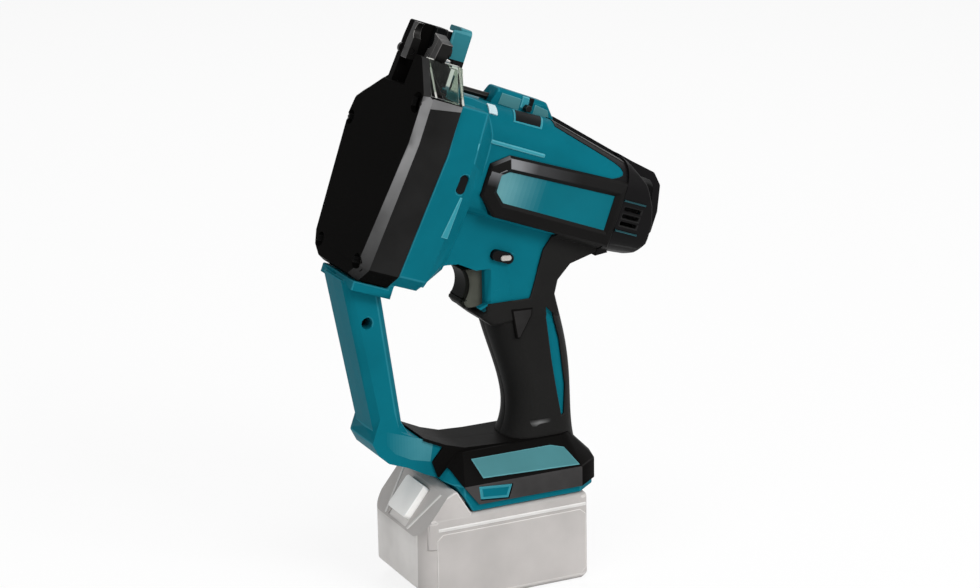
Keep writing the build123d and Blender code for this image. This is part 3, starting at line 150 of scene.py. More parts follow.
# Studio: a long lens a little above and in front of the tool's left side, a pale floor that keeps the
# shadow, and four large soft lamps. The background reads as white to the camera, to gloss and to glass.
CAMERA_SPOT = (-0.7064, -1.5016, 0.6774)
CAMERA_ROUND, CAMERA_DOWN, CAMERA_ROLL = radians(25.5), radians(16.5), radians(1.0)
SENSOR_WIDTH, PICTURE_WIDTH, FOCAL_PIXELS = 36.0, 980, 2800
WORLD_LIGHT, WORLD_SEEN = 0.33, 1.0
FLOOR_SIZE, FLOOR_WHITE = 6.0, 0.86
LAMPS = {"key": ((0.75, -1.9, 1.5), 1.1, 36), "fill": ((-1.9, -1.0, 1.3), 1.6, 10),
         "rim": ((0.7, 1.5, 1.8), 1.0, 14), "top": ((-0.2, -0.5, 2.2), 1.0, 10)}
LAMP_AIM = Vector((0, 0, 0.2))
scene = bpy.context.scene
scene.view_settings.view_transform = "Standard"

camera = bpy.data.objects.new("camera", bpy.data.cameras.new("camera"))
camera.data.sensor_width = SENSOR_WIDTH
camera.data.lens = SENSOR_WIDTH * FOCAL_PIXELS / PICTURE_WIDTH
camera.matrix_world = (Matrix.Translation(CAMERA_SPOT) @ Matrix.Rotation(-CAMERA_ROUND, 4, "Z")
                       @ Matrix.Rotation(pi / 2 - CAMERA_DOWN, 4, "X")
                       @ Matrix.Rotation(-CAMERA_ROLL, 4, "Z"))
scene.collection.objects.link(camera)
scene.camera = camera


def seen_directly(tree):
    """One where a camera, mirror or glass ray looks at the surface, nought for the rays that light it."""
    path = tree.nodes.new("ShaderNodeLightPath")
    seen = path.outputs["Is Camera Ray"]
    for ray in ("Is Glossy Ray", "Is Transmission Ray"):
        either = tree.nodes.new("ShaderNodeMath")
        either.operation = "MAXIMUM"
        tree.links.new(seen, either.inputs[0])
        tree.links.new(path.outputs[ray], either.inputs[1])
        seen = either.outputs[0]
    return seen


def ranged(tree, low, high, least, most):
    """A node that maps one range of values on another."""
    node = tree.nodes.new("ShaderNodeMapRange")
    for name, value in (("From Min", low), ("From Max", high), ("To Min", least), ("To Max", most)):
        node.inputs[name].default_value = value
    return node


world = bpy.data.worlds.new("studio")
world.use_nodes = True
scene.world = world
sky = world.node_tree.nodes["Background"]
sky.inputs["Color"].default_value = (1.0, 1.0, 1.0, 1.0)
level = ranged(world.node_tree, 0.0, 1.0, WORLD_LIGHT, WORLD_SEEN)
world.node_tree.links.new(seen_directly(world.node_tree), level.inputs["Value"])
world.node_tree.links.new(level.outputs["Result"], sky.inputs["Strength"])

floor_paint = bpy.data.materials.new("floor_paint")
floor_paint.use_nodes = True
tree = floor_paint.node_tree
matt = tree.nodes["Principled BSDF"]
matt.inputs["Base Color"].default_value = (0.9, 0.9, 0.9, 1.0)
matt.inputs["Roughness"].default_value = 0.9
matt.inputs["Specular IOR Level"].default_value = 0.0
paper = tree.nodes.new("ShaderNodeEmission")
paper.inputs["Color"].default_value = (1.0, 1.0, 1.0, 1.0)
fade = tree.nodes.new("ShaderNodeMixShader")
share = tree.nodes.new("ShaderNodeMath")
share.operation = "MULTIPLY"
share.inputs[1].default_value = FLOOR_WHITE
tree.links.new(seen_directly(tree), share.inputs[0])
tree.links.new(share.outputs[0], fade.inputs["Fac"])
tree.links.new(matt.outputs["BSDF"], fade.inputs[1])
tree.links.new(paper.outputs["Emission"], fade.inputs[2])
tree.links.new(fade.outputs["Shader"], tree.nodes["Material Output"].inputs["Surface"])

bm = bmesh.new()
bmesh.ops.create_grid(bm, x_segments=1, y_segments=1, size=FLOOR_SIZE)
floor = bpy.data.objects.new("floor", bpy.data.meshes.new("floor"))
bm.to_mesh(floor.data)
bm.free()
floor.data.materials.append(floor_paint)
scene.collection.objects.link(floor)
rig.stage(floor)

for name, (place, size, power) in LAMPS.items():
    lamp = bpy.data.objects.new(name, bpy.data.lights.new(name, "AREA"))
    lamp.data.energy = power
    lamp.data.size = size
    lamp.location = place
    lamp.rotation_euler = (LAMP_AIM - Vector(place)).to_track_quat("-Z", "Y").to_euler()
    scene.collection.objects.link(lamp)

# Housing halves: two teal glass-filled nylon mouldings parted on the middle plane and screwed together.
# They are spark-eroded all over, so the skin is finely grained, and the rounded edges carry a painted highlight.
WELD, SHORTEST_EDGE, FOLD_AREA = 3e-6, 0.0004, 5e-7
FLAT_UNDER, SHARP_OVER, SMOOTH_UNDER = radians(0.6), radians(28), radians(42)


def folded(bm):
    """The marks of the faces that a bevel has pushed through themselves."""
    ident = bm.faces.layers.int["ident"]
    spread = {}
    for a, b, c in bm.calc_loop_triangles():
        area = (b.vert.co - a.vert.co).cross(c.vert.co - a.vert.co).length / 2
        spread[a.face] = spread.get(a.face, 0.0) + area
    return {face[ident] for face, area in spread.items() if area - face.calc_area() > FOLD_AREA}


def softened(node, width, segments=2):
    """A merged copy of a CAD node with its sharp edges rounded; the new faces carry the rim mark, a painted highlight.
    Faces too narrow for the rounding are found by trial, and their edges stay sharp."""
    merged = bmesh.new()
    merged.faces.layers.float.new("rim")
    ident = merged.faces.layers.int.new("ident")
    merged.from_mesh(nodes[node].data)
    bmesh.ops.remove_doubles(merged, verts=merged.verts, dist=WELD)
    bmesh.ops.dissolve_limit(merged, angle_limit=FLAT_UNDER, verts=merged.verts, edges=merged.edges)
    for number, face in enumerate(merged.faces):
        face[ident] = number
    narrow = set()
    while True:
        bm = merged.copy()
        rim = bm.faces.layers.float["rim"]
        ident = bm.faces.layers.int["ident"]
        sharp = [edge for edge in bm.edges if edge.is_manifold and edge.calc_face_angle() > SHARP_OVER
                 and edge.calc_length() > SHORTEST_EDGE
                 and not any(face[ident] in narrow for face in edge.link_faces)]
        result = bmesh.ops.bevel(bm, geom=sharp, offset=width, offset_type="OFFSET", affect="EDGES",
                                 segments=segments, profile=0.5, clamp_overlap=False, material=-1,
                                 loop_slide=True, miter_outer="SHARP")
        for face in result["faces"]:
            face[rim] = 1.0
        found = folded(bm) - narrow
        if not found:
            break
        narrow |= found
        bm.free()
    merged.free()
    return bm


def piece(bm, name, material, body, *replaced):
    """An object from a bmesh, shaded smooth with its flats kept flat, riding on a body in place of nodes.
    The material's name starts with the slot of the record that the piece takes its finish from."""
    for face in bm.faces:
        face.smooth = True
    obj = bpy.data.objects.new(name, bpy.data.meshes.new(name))
    bm.to_mesh(obj.data)
    bm.free()
    obj.data.materials.append(material)
    obj.data.set_sharp_from_angle(angle=SMOOTH_UNDER)
    scene.collection.objects.link(obj)
    flatten = obj.modifiers.new("flatten", "WEIGHTED_NORMAL")
    flatten.keep_sharp = True
    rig.ride(obj, body)
    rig.slot(obj, material.name.split(".")[0])
    if replaced:
        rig.replaces(obj, *replaced)
    return obj


def socket(group, name, kind, way="INPUT", value=None):
    """A named socket on a node group."""
    made = group.interface.new_socket(name=name, in_out=way, socket_type=kind)
    if value is not None:
        made.default_value = value


def moulding_group():
    """Moulded plastic: spark-eroded grain, slow drift of tone and gloss, and rims painted paler as a highlight."""
    group = bpy.data.node_groups.new("moulded_grain", "ShaderNodeTree")
    socket(group, "Colour", "NodeSocketColor")
    socket(group, "Rim Colour", "NodeSocketColor")
    socket(group, "Grain", "NodeSocketFloat", value=2400.0)
    socket(group, "Depth", "NodeSocketFloat", value=0.12)
    socket(group, "Gloss", "NodeSocketFloat", value=0.4)
    socket(group, "Colour", "NodeSocketColor", "OUTPUT")
    socket(group, "Roughness", "NodeSocketFloat", "OUTPUT")
    socket(group, "Normal", "NodeSocketVector", "OUTPUT")
    make, link = group.nodes.new, group.links.new
    given, out = make("NodeGroupInput"), make("NodeGroupOutput")
    where = make("ShaderNodeTexCoord")
    drift = make("ShaderNodeTexNoise")
    drift.inputs["Scale"].default_value = 26.0
    drift.inputs["Detail"].default_value = 3.0
    link(where.outputs["Object"], drift.inputs["Vector"])
    grain = make("ShaderNodeTexNoise")
    grain.inputs["Detail"].default_value = 1.0
    link(where.outputs["Object"], grain.inputs["Vector"])
    link(given.outputs["Grain"], grain.inputs["Scale"])
    tone = ranged(group, 0.3, 0.7, 0.9, 1.08)
    link(drift.outputs["Fac"], tone.inputs["Value"])
    toned = make("ShaderNodeMix")
    toned.data_type = "RGBA"
    toned.blend_type = "MULTIPLY"
    toned.inputs["Factor"].default_value = 1.0
    link(given.outputs["Colour"], toned.inputs["A"])
    link(tone.outputs["Result"], toned.inputs["B"])
    # The rim mark paints a highlight: where it is set, the colour goes over to the rim colour, broken up by the drift.
    mark = make("ShaderNodeAttribute")
    mark.attribute_name = "rim"
    speckle = ranged(group, 0.3, 0.6, 0.55, 1.0)
    link(drift.outputs["Fac"], speckle.inputs["Value"])
    rim_highlight = make("ShaderNodeMath")
    rim_highlight.operation = "MULTIPLY"
    link(mark.outputs["Fac"], rim_highlight.inputs[0])
    link(speckle.outputs["Result"], rim_highlight.inputs[1])
    edged = make("ShaderNodeMix")
    edged.data_type = "RGBA"
    link(rim_highlight.outputs[0], edged.inputs["Factor"])
    link(toned.outputs["Result"], edged.inputs["A"])
    link(given.outputs["Rim Colour"], edged.inputs["B"])
    link(edged.outputs["Result"], out.inputs["Colour"])
    sheen = ranged(group, 0.0, 1.0, -0.08, 0.08)
    link(drift.outputs["Fac"], sheen.inputs["Value"])
    rough = make("ShaderNodeMath")
    rough.operation = "ADD"
    link(given.outputs["Gloss"], rough.inputs[0])
    link(sheen.outputs["Result"], rough.inputs[1])
    link(rough.outputs[0], out.inputs["Roughness"])
    relief = make("ShaderNodeBump")
    relief.inputs["Distance"].default_value = 0.0004
    link(given.outputs["Depth"], relief.inputs["Strength"])
    link(grain.outputs["Fac"], relief.inputs["Height"])
    link(relief.outputs["Normal"], out.inputs["Normal"])
    return group


moulded_grain = moulding_group()


def moulded(name, colour, rim, gloss, grain=2400.0, depth=0.12, metallic=0.0, specular=0.14):
    """A moulded, cast or coated finish on the shared grain."""
    material = bpy.data.materials.new(name)
    material.use_nodes = True
    tree = material.node_tree
    shader = tree.nodes["Principled BSDF"]
    shader.inputs["Metallic"].default_value = metallic
    shader.inputs["Specular IOR Level"].default_value = specular
    surface = tree.nodes.new("ShaderNodeGroup")
    surface.node_tree = moulded_grain
    surface.inputs["Colour"].default_value = (*colour, 1.0)
    surface.inputs["Rim Colour"].default_value = (*rim, 1.0)
    surface.inputs["Grain"].default_value = grain
    surface.inputs["Depth"].default_value = depth
    surface.inputs["Gloss"].default_value = gloss
    tree.links.new(surface.outputs["Colour"], shader.inputs["Base Color"])
    tree.links.new(surface.outputs["Roughness"], shader.inputs["Roughness"])
    tree.links.new(surface.outputs["Normal"], shader.inputs["Normal"])
    return material


teal_nylon = moulded("teal_moulding", (0.003, 0.128, 0.172), (0.018, 0.185, 0.24), gloss=0.36, specular=0.01)
for side in ("left", "right"):
    half = softened(f"housing_{side}", width=0.0008)
    piece(half, f"housing_{side}_shell", teal_nylon, "tool", f"housing_{side}")

# Barrel ribs: a slim straight rib on each side of the barrel, just under the shoulder of the crown. It is
# moulded in one with the teal half and stands a millimetre proud, and the pale teal of its rounded edge is a painted
# highlight.
NOSE = Vector((-0.06565, 0.0, 0.29206))
TILT = radians(20.7)
BACK = Vector((cos(TILT), 0.0, -sin(TILT)))
RIGHT = Vector((0.0, 1.0, 0.0))
UP = Vector((sin(TILT), 0.0, cos(TILT)))
LEFT_AND_RIGHT = (("left", -1), ("right", 1))
RIB_T, RIB_H, RIB_OUT = (59.8, 98.4), (18.8, 21.3), (29.5, 31.5)


def head(t, x, h):
    """A point given in millimetres along the motor line, to the right and up the head."""
    return NOSE + (t * BACK + x * RIGHT + h * UP) / 1000


def rounded_box(place, first, second, third, width):
    """A box between three pairs of limits, with all its edges rounded."""
    bm = bmesh.new()
    rim = bm.faces.layers.float.new("rim")
    bmesh.ops.create_cube(bm, size=1.0)
    for vert in bm.verts:
        limits = zip((first, second, third), vert.co)
        spot = [low + (high - low) * (at + 0.5) for (low, high), at in limits]
        vert.co = place(*spot)
    result = bmesh.ops.bevel(bm, geom=bm.edges, offset=width, offset_type="OFFSET", affect="EDGES",
                             segments=3, profile=0.5, clamp_overlap=True, material=-1)
    # The rounded faces carry the rim mark, a painted highlight.
    for face in result["faces"]:
        face[rim] = 1.0
    bmesh.ops.recalc_face_normals(bm, faces=bm.faces)
    return bm


def sided(side, near, far):
    """Limits across the tool, in order, from distances out towards one side."""
    return tuple(sorted((side * near, side * far)))


pale_teal = moulded("teal_moulding.pale", (0.03, 0.25, 0.31), (0.09, 0.36, 0.42), gloss=0.32, specular=0.08)
for name, side in LEFT_AND_RIGHT:
    rib = rounded_box(head, RIB_T, sided(side, *RIB_OUT), RIB_H, width=0.0008)
    piece(rib, f"barrel_rib_{name}", pale_teal, "tool")

# Flare beads: a tapering bead down the rear edge of each flank of the head, and a slim one above the slot.
# Both are moulded in one with the teal halves, and their pale teal is a painted highlight on their rounded tops.
FLARE_OUT, FLARE_KNEE, FLARE_FALL = 46.9, -1.0, 0.168
BEADS = {"broad": [(-16.0, 44.4), (-16.0, 46.0), (-42.5, 47.0), (-42.5, 42.6)],
         "slim": [(18.0, 44.0), (18.0, 45.0), (0.5, 45.3), (0.5, 43.7)]}


def cut_through(bm, point, direction, **cleared):
    """Cuts a whole mesh along a plane, and clears one side of it where that is asked for."""
    bmesh.ops.bisect_plane(bm, geom=bm.verts[:] + bm.edges[:] + bm.faces[:], plane_co=point,
                           plane_no=direction, **cleared)


def raised_plate(points, place, near, far, width, cuts=()):
    """A plate on a straight sided outline, pushed out and rounded along its face. The cuts across its
    second direction let it follow a curved ground."""
    bm = bmesh.new()
    rim = bm.faces.layers.float.new("rim")
    bm.faces.new([bm.verts.new((a, b, near)) for a, b in points])
    for at in cuts:
        cut_through(bm, (0, at, 0), (0, 1, 0))
    grown = bmesh.ops.extrude_face_region(bm, geom=bm.faces[:])["geom"]
    top = [item for item in grown if isinstance(item, bmesh.types.BMFace)]
    for item in grown:
        if isinstance(item, bmesh.types.BMVert):
            item.co.z = far
    border = [edge for edge in bm.edges if sum(face in top for face in edge.link_faces) == 1]
    result = bmesh.ops.bevel(bm, geom=border, offset=width, offset_type="OFFSET", affect="EDGES",
                             segments=3, profile=0.5, clamp_overlap=True, material=-1)
    # The rounded faces carry the rim mark, a painted highlight.
    for face in result["faces"]:
        face[rim] = 1.0
    for vert in bm.verts:
        vert.co = place(*vert.co)
    bmesh.ops.recalc_face_normals(bm, faces=bm.faces)
    return bm


def on_flare(side):
    """A placing on the flank of the head: height, station, distance out of the flank."""
    def place(h, t, out):
        flank = FLARE_OUT + min(0.0, h - FLARE_KNEE) * FLARE_FALL
        return head(t, side * (flank + out), h)
    return place


for name, side in LEFT_AND_RIGHT:
    for part, outline in BEADS.items():
        bead = raised_plate(outline, on_flare(side), near=-2.4, far=0.25, width=0.5)
        piece(bead, f"flare_bead_{part}_{name}", pale_teal, "tool")

# Hump over the stored key: the halves rise round the key's long leg in a web, with a raised cheek and two
# pale flats on each side, all moulded in the teal nylon. A black nylon band beside the cheek grips the key.
soft_teal = moulded("teal_moulding.panel", (0.06, 0.2, 0.22), (0.1, 0.3, 0.33), gloss=0.36, specular=0.06)
hump_black = moulded("black_moulding.band", (0.004, 0.005, 0.0055), (0.012, 0.014, 0.015), gloss=0.45,
                     specular=0.05)
HUMP_BARS = {"web": ((81.4, 99.6), (6.5, 8.3), (37.5, 47.8), 0.0003, teal_nylon),
             "cheek": ((84.0, 88.8), (7.0, 8.8), (42.6, 50.0), 0.0006, pale_teal),
             "band": ((89.4, 92.2), (7.0, 8.6), (41.5, 50.2), 0.0003, hump_black)}
HUMP_FLATS = {"front": [(69.0, 41.4), (83.4, 40.8), (83.4, 48.0), (69.6, 48.4)],
              "rear": [(93.8, 40.2), (105.8, 40.2), (103.4, 45.6), (93.8, 47.0)]}
for name, side in LEFT_AND_RIGHT:
    for part, (along, out, up, width, finish) in HUMP_BARS.items():
        bar = rounded_box(head, along, sided(side, *out), up, width)
        piece(bar, f"hump_{part}_{name}", finish, "tool")
    for part, outline in HUMP_FLATS.items():
        flat = raised_plate(outline, lambda t, h, out: head(t, side * out, h), near=7.6, far=8.5, width=0.3)
        piece(flat, f"hump_flat_{part}_{name}", soft_teal, "tool")

# Barrel frames: a black elastomer frame on each side of the barrel, with roofed bars and a sloping rear bar.
# It is moulded over the teal half, and a painted highlight runs as a long streak along the upper bar and dies
# away behind the nose. Each step of its roof has a width, the height that it reaches and the station of its rear bar.
RUBBER_GRAIN = {"grain": 1500.0, "depth": 0.2}
frame_rubber = moulded("black_elastomer.frame", (0.0045, 0.0042, 0.004), (0.3, 0.305, 0.32), gloss=0.4,
                       specular=0.07, **RUBBER_GRAIN)
BARREL_HALF, BARREL_ROUND, BARREL_LOW = 30.5, 17.0, -27.0
CROWN_LEVEL, CROWN_FALL_FROM, CROWN_FALL = 41.3, 103.0, 12.1 / 57.0
FRAME = [(64, -13), (64, 7), (75.4, 15), (160.8, 18.2), (160.8, -24), (77, -23.8)]
FRAME_FOOT, FRAME_EDGE, FRAME_SOFT, FRAME_LEAST_OUT = -0.6, 0.9, 0.35, 29.2
FRAME_STEPS = ((1.5, 2.3, 159.6), (5.9, 2.9, 156.4), (2.4, FRAME_EDGE, 154.0))
FRAME_CUTS = (((1, 0, 0), range(80, 132, 4)), ((0, 1, 0), range(-6, 7, 3)))
REAR_BAR_FROM = 137.0
UPPER_RISE = (FRAME[3][1] - FRAME[2][1]) / (FRAME[3][0] - FRAME[2][0])
STREAK_BELOW, STREAK_FROM, STREAK_MOST, STREAK_FULL, STREAK_FADE = (1.4, 7.6), 77.0, 0.75, 82.0, 24.0
TRAIL_MOST, TRAIL_FROM, TRAIL_FADE, TRAIL_LEAST = 0.17, 96.0, 190.0, 0.01
CORNER_BELOW, CORNER_IN, CORNER_FROM, CORNER_RUN = (1.4, 7.0), 6.0, 71.0, 12.0
NOSE_BAR_IN, NOSE_MITRE, NOSE_MITRE_FROM, NOSE_LIT_FROM, NOSE_RATE = (1.4, 10.0), 0.7, -1.0, -5.0, 0.06


def crown(t):
    """The height of the barrel's crown at a station."""
    return CROWN_LEVEL - max(0.0, t - CROWN_FALL_FROM) * CROWN_FALL


def barrel_side(t, h):
    """How far out the barrel's side lies at a station and height."""
    over = max(0.0, h - (crown(t) - BARREL_ROUND), BARREL_LOW + BARREL_ROUND - h)
    return BARREL_HALF - BARREL_ROUND + (BARREL_ROUND ** 2 - min(over, BARREL_ROUND) ** 2) ** 0.5


def frame_painted_highlight(middle, t, h):
    """How much painted highlight a facet of the frame takes at a corner of it: a streak along the upper bar with a
    faint trail behind it, its run-up over the upper front bar, and a short one down the nose bar."""
    below = FRAME[2][1] + (middle.x - FRAME[2][0]) * UPPER_RISE - middle.y
    inside = middle.x - FRAME[0][0]
    if middle.x > STREAK_FROM and STREAK_BELOW[0] < below < STREAK_BELOW[1]:
        streak = min(STREAK_MOST, STREAK_MOST - (t - STREAK_FULL) / STREAK_FADE)
        return max(TRAIL_LEAST, streak, TRAIL_MOST - (t - TRAIL_FROM) / TRAIL_FADE)
    if inside > CORNER_IN and CORNER_BELOW[0] < below < CORNER_BELOW[1]:
        return max(0.0, (t - CORNER_FROM) / CORNER_RUN)
    if NOSE_BAR_IN[0] < inside < NOSE_BAR_IN[1] and middle.y < inside * NOSE_MITRE + NOSE_MITRE_FROM:
        return max(0.0, NOSE_RATE * (h - NOSE_LIT_FROM))
    return 0.0


def frame_form(side):
    """A frame with a ridge along its bars, laid flat first and then set on the barrel."""
    bm = bmesh.new()
    rim = bm.loops.layers.float.new("rim")
    plate = bm.faces.new([bm.verts.new((t, h, FRAME_EDGE)) for t, h in FRAME])
    bm.normal_update()
    outer = list(plate.edges)
    for width, level, rear in FRAME_STEPS:
        bmesh.ops.inset_individual(bm, faces=[plate], thickness=width, use_even_offset=True)
        for vert in plate.verts:
            vert.co.z = level
            if vert.co.x > REAR_BAR_FROM:
                vert.co.x = rear
    inner = list(plate.edges)
    bmesh.ops.delete(bm, geom=[plate], context="FACES_ONLY")
    ridge = [edge for edge in bm.edges if edge not in outer and edge not in inner and edge.is_manifold]
    bmesh.ops.bevel(bm, geom=ridge + outer + inner, offset=FRAME_SOFT, offset_type="OFFSET", affect="EDGES",
                    segments=2, profile=0.5, clamp_overlap=True, material=-1)
    for along, stations in FRAME_CUTS:
        for at in stations:
            cut_through(bm, [at * share for share in along], along)
    walls = bmesh.ops.extrude_edge_only(bm, edges=[edge for edge in bm.edges if edge.is_boundary])
    for item in walls["geom"]:
        if isinstance(item, bmesh.types.BMVert):
            item.co.z = FRAME_FOOT
    bm.normal_update()
    for face in bm.faces:
        middle = face.calc_center_median()
        for loop in face.loops:
            loop[rim] = frame_painted_highlight(middle, loop.vert.co.x, loop.vert.co.y)
    for vert in bm.verts:
        t, h, lift = vert.co
        least = FRAME_LEAST_OUT if lift > 0 else 0.0
        vert.co = head(t, side * (max(barrel_side(t, h), least) + lift), h)
    bmesh.ops.recalc_face_normals(bm, faces=bm.faces)
    return bm


for name, side in LEFT_AND_RIGHT:
    piece(frame_form(side), f"barrel_frame_{name}", frame_rubber, "tool", f"side_pad_{name}")

# Barrel plates: the plain teal plate that each frame goes round. It is part of the moulded nylon half, flat
# and lower than the frame's ridge, and a painted highlight makes it paler towards the nose.
plate_teal = moulded("teal_moulding.plate", (0.001, 0.125, 0.165), (0.11, 0.29, 0.32), gloss=0.36,
                     specular=0.06)
PLATE = [(2.2, 73.4), (5.8, 78.3), (8.5, 154.4), (-14.5, 154.4), (-14.5, 80.2), (-8.7, 73.4)]
PALE_FROM, PALE_RUN = 77.0, 30.0


def on_barrel(side):
    """A placing on the flat of the barrel's side: height, station, distance out of it."""
    return lambda h, t, out: head(t, side * (BARREL_HALF + out), h)


for name, side in LEFT_AND_RIGHT:
    plate = raised_plate(PLATE, on_barrel(side), near=-0.3, far=0.4, width=0.1, cuts=range(78, 110, 3))
    rim = plate.faces.layers.float["rim"]
    for face in plate.faces:
        t = (face.calc_center_median() - NOSE).dot(BACK) * 1000
        face[rim] = max(0.0, 1.0 - max(0.0, t - PALE_FROM) / PALE_RUN)
    piece(plate, f"barrel_plate_{name}", plate_teal, "tool")

# Grip and foot skins: black thermoplastic rubber, moulded over the halves in a second shot. A stripe of the
# teal shell shows beside each grip skin, and a painted sheen makes a paler band low along each side of the foot.
black_rubber = moulded("black_elastomer", (0.0135, 0.0132, 0.0128), (0.02, 0.019, 0.018), gloss=0.46,
                       specular=0.025, **RUBBER_GRAIN)
foot_rubber = moulded("black_elastomer.foot", (0.0045, 0.0042, 0.004), (0.055, 0.053, 0.053), gloss=0.46,
                      specular=0.012, **RUBBER_GRAIN)
FOOT_BAND_TOP, FOOT_BAND_FACING, FOOT_RIM_HIGHLIGHT = 0.0762, 0.97, 0.2
for side in ("left", "right"):
    grip = softened(f"grip_skin_{side}", width=0.0006)
    piece(grip, f"grip_skin_{side}_rubber", black_rubber, "tool", f"grip_skin_{side}")
    skin = softened(f"foot_pad_{side}", width=0.0006)
    # The low side band of the foot pad takes a painted sheen, and its rounded edges a weaker painted highlight.
    rim = skin.faces.layers.float["rim"]
    for face in skin.faces:
        in_band = abs(face.normal.y) > FOOT_BAND_FACING and face.calc_center_median().z < FOOT_BAND_TOP
        face[rim] = 1.0 if in_band else FOOT_RIM_HIGHLIGHT * face[rim]
    piece(skin, f"foot_pad_{side}_rubber", foot_rubber, "tool", f"foot_pad_{side}")

# Guard feet: the lower end of the hand guard, where it flares towards the foot. It is one moulding with the
# teal half, and its side carries a painted highlight that grows towards the rear.
foot_teal = moulded("teal_moulding.foot", (0.003, 0.128, 0.172), (0.055, 0.235, 0.28), gloss=0.36,
                    specular=0.02)
GUARD_FOOT = [(112.5, -70.0), (109.0, -59.5), (101.5, -39.0), (88.8, -41.2), (92.0, -54.0), (97.5, -64.5),
              (104.0, -70.0)]
LIT_FROM, LIT_RUN = -70.0, 24.0


def plain(x, y, z):
    """A point given in millimetres along the tool's own axes."""
    return Vector((x, y, z)) / 1000


def up_the_side(side):
    """A placing on the tool's left or right: up and back as given, the third value outwards."""
    return lambda z, x, out: plain(x, side * out, z)


for name, side in LEFT_AND_RIGHT:
    foot = raised_plate(GUARD_FOOT, up_the_side(side), near=17.0, far=17.56, width=0.04,
                        cuts=range(-68, -42, 2))
    rim = foot.faces.layers.float["rim"]
    for face in foot.faces:
        face[rim] = min(1.0, max(0.0, (face.calc_center_median().x * 1000 - LIT_FROM) / LIT_RUN))
    piece(foot, f"guard_foot_{name}", foot_teal, "tool")

# Grip roots: the rubber of the grip swells out where it runs into the foot, moulded in one with the skin.
# The crest of the swelling carries a painted highlight in its middle, which fades to all sides.
root_rubber = moulded("black_elastomer.root", (0.0135, 0.0132, 0.0128), (0.2, 0.2, 0.2), gloss=0.46,
                      specular=0.025, **RUBBER_GRAIN)
GRIP_ROOT = [(99.6, 26.0), (104.4, 26.0), (104.4, 42.0), (99.6, 42.0)]
ROOT_LEVEL, ROOT_MIDDLE, ROOT_HALF, ROOT_NEAR = 102.0, 33.5, 8.0, 0.1
GRIP_OUT, GRIP_TURN, GRIP_CURVE = 18.7, 31.0, 0.13


def on_grip(side):
    """A placing low on the grip's side, which turns in towards the front: height, station, distance out."""
    def place(z, x, out):
        turned_in = GRIP_CURVE * max(0.0, GRIP_TURN - x) ** 2
        return plain(x, side * (GRIP_OUT - turned_in + out), z)
    return place


for name, side in LEFT_AND_RIGHT:
    root = raised_plate(GRIP_ROOT, on_grip(side), near=-0.8, far=0.12, width=0.05, cuts=range(27, 42))
    cut_through(root, plain(0, 0, ROOT_LEVEL), (0, 0, 1))
    root.faces.layers.float.remove(root.faces.layers.float["rim"])
    rim = root.loops.layers.float.new("rim")
    for face in root.faces:
        for loop in face.loops:
            spot = loop.vert.co * 1000
            on_crest = abs(spot.z - ROOT_LEVEL) < ROOT_NEAR
            loop[rim] = max(0.0, 1.0 - abs(spot.x - ROOT_MIDDLE) / ROOT_HALF) if on_crest else 0.0
    piece(root, f"grip_root_{name}", root_rubber, "tool")

# Thumb pads: a raised wedge on each side of the grip, under the trigger zone. It is the rubber of the skin
# moulded thicker, with well rounded edges, and its face is painted paler as a highlight.
THUMB_PAD = [(14.5, 179.0), (29.2, 178.4), (28.6, 173.5), (20.4, 159.5), (17.8, 159.8)]
THUMB_FACING, THUMB_PALE = 0.98, 0.45


def on_side(side):
    """A placing on the tool's left or right: back and up as given, the third value outwards."""
    return lambda x, z, out: plain(x, side * out, z)


for name, side in LEFT_AND_RIGHT:
    pad = raised_plate(THUMB_PAD, on_side(side), near=17.5, far=20.9, width=1.0)
    rim = pad.faces.layers.float["rim"]
    for face in pad.faces:
        face[rim] = THUMB_PALE if abs(face.normal.y) > THUMB_FACING else 0.0
    piece(pad, f"thumb_pad_{name}", foot_rubber, "tool")

# Zone chins: the web of each half runs on in a short tip under the trigger. It is part of the teal nylon
# moulding, a thin plate that laps over the top of the grip.
ZONE_CHIN = [(8.0, 193.0), (4.6, 192.0), (3.4, 187.6), (0.0, 184.6), (-6.5, 182.6), (-5.5, 181.2),
             (2.0, 184.4), (8.0, 184.9)]
for name, side in LEFT_AND_RIGHT:
    chin = raised_plate(ZONE_CHIN, on_side(side), near=14.0, far=18.44, width=0.04)
    piece(chin, f"zone_chin_{name}", teal_nylon, "tool")

# Foot panels: a long plain teal plate let into the sloping shoulder of each side of the foot. It is moulded
# nylon with a rounded edge, and the rubber skin is moulded round it.
FOOT_PANEL = [(-17.4, 88.9), (37.5, 88.9), (46.0, 86.8), (52.4, 76.9), (-13.8, 78.7)]
SHOULDER_OUT, SHOULDER_UP, SHOULDER_REACH = 0.72, 0.694, 80.15


def on_shoulder(side):
    """A placing on the foot's sloping shoulder: back and up as given, the third value out of the slope."""
    def place(x, z, out):
        across = (SHOULDER_REACH - SHOULDER_UP * z) / SHOULDER_OUT
        return plain(x, side * (across + SHOULDER_OUT * out), z + SHOULDER_UP * out)
    return place


for name, side in LEFT_AND_RIGHT:
    panel = raised_plate(FOOT_PANEL, on_shoulder(side), near=-1.4, far=0.4, width=0.5)
    piece(panel, f"foot_panel_{name}", soft_teal, "tool")

# Foot badges: a small plain teal plate with a paler rim, in a window low on each side of the foot. Rim and
# plate are moulded nylon, and the plate stands a little proud of the rim.
BADGE_RIM = [(-17.6, 74.4), (5.0, 72.5), (2.2, 64.2), (-16.6, 66.0)]
BADGE = [(-15.6, 72.8), (2.9, 71.2), (1.0, 65.9), (-14.9, 67.3)]
for name, side in LEFT_AND_RIGHT:
    badge_rim = raised_plate(BADGE_RIM, on_side(side), near=36.0, far=37.4, width=0.3)
    piece(badge_rim, f"foot_badge_rim_{name}", pale_teal, "tool")
    badge = raised_plate(BADGE, on_side(side), near=36.0, far=37.7, width=0.3)
    piece(badge, f"foot_badge_{name}", teal_nylon, "tool")
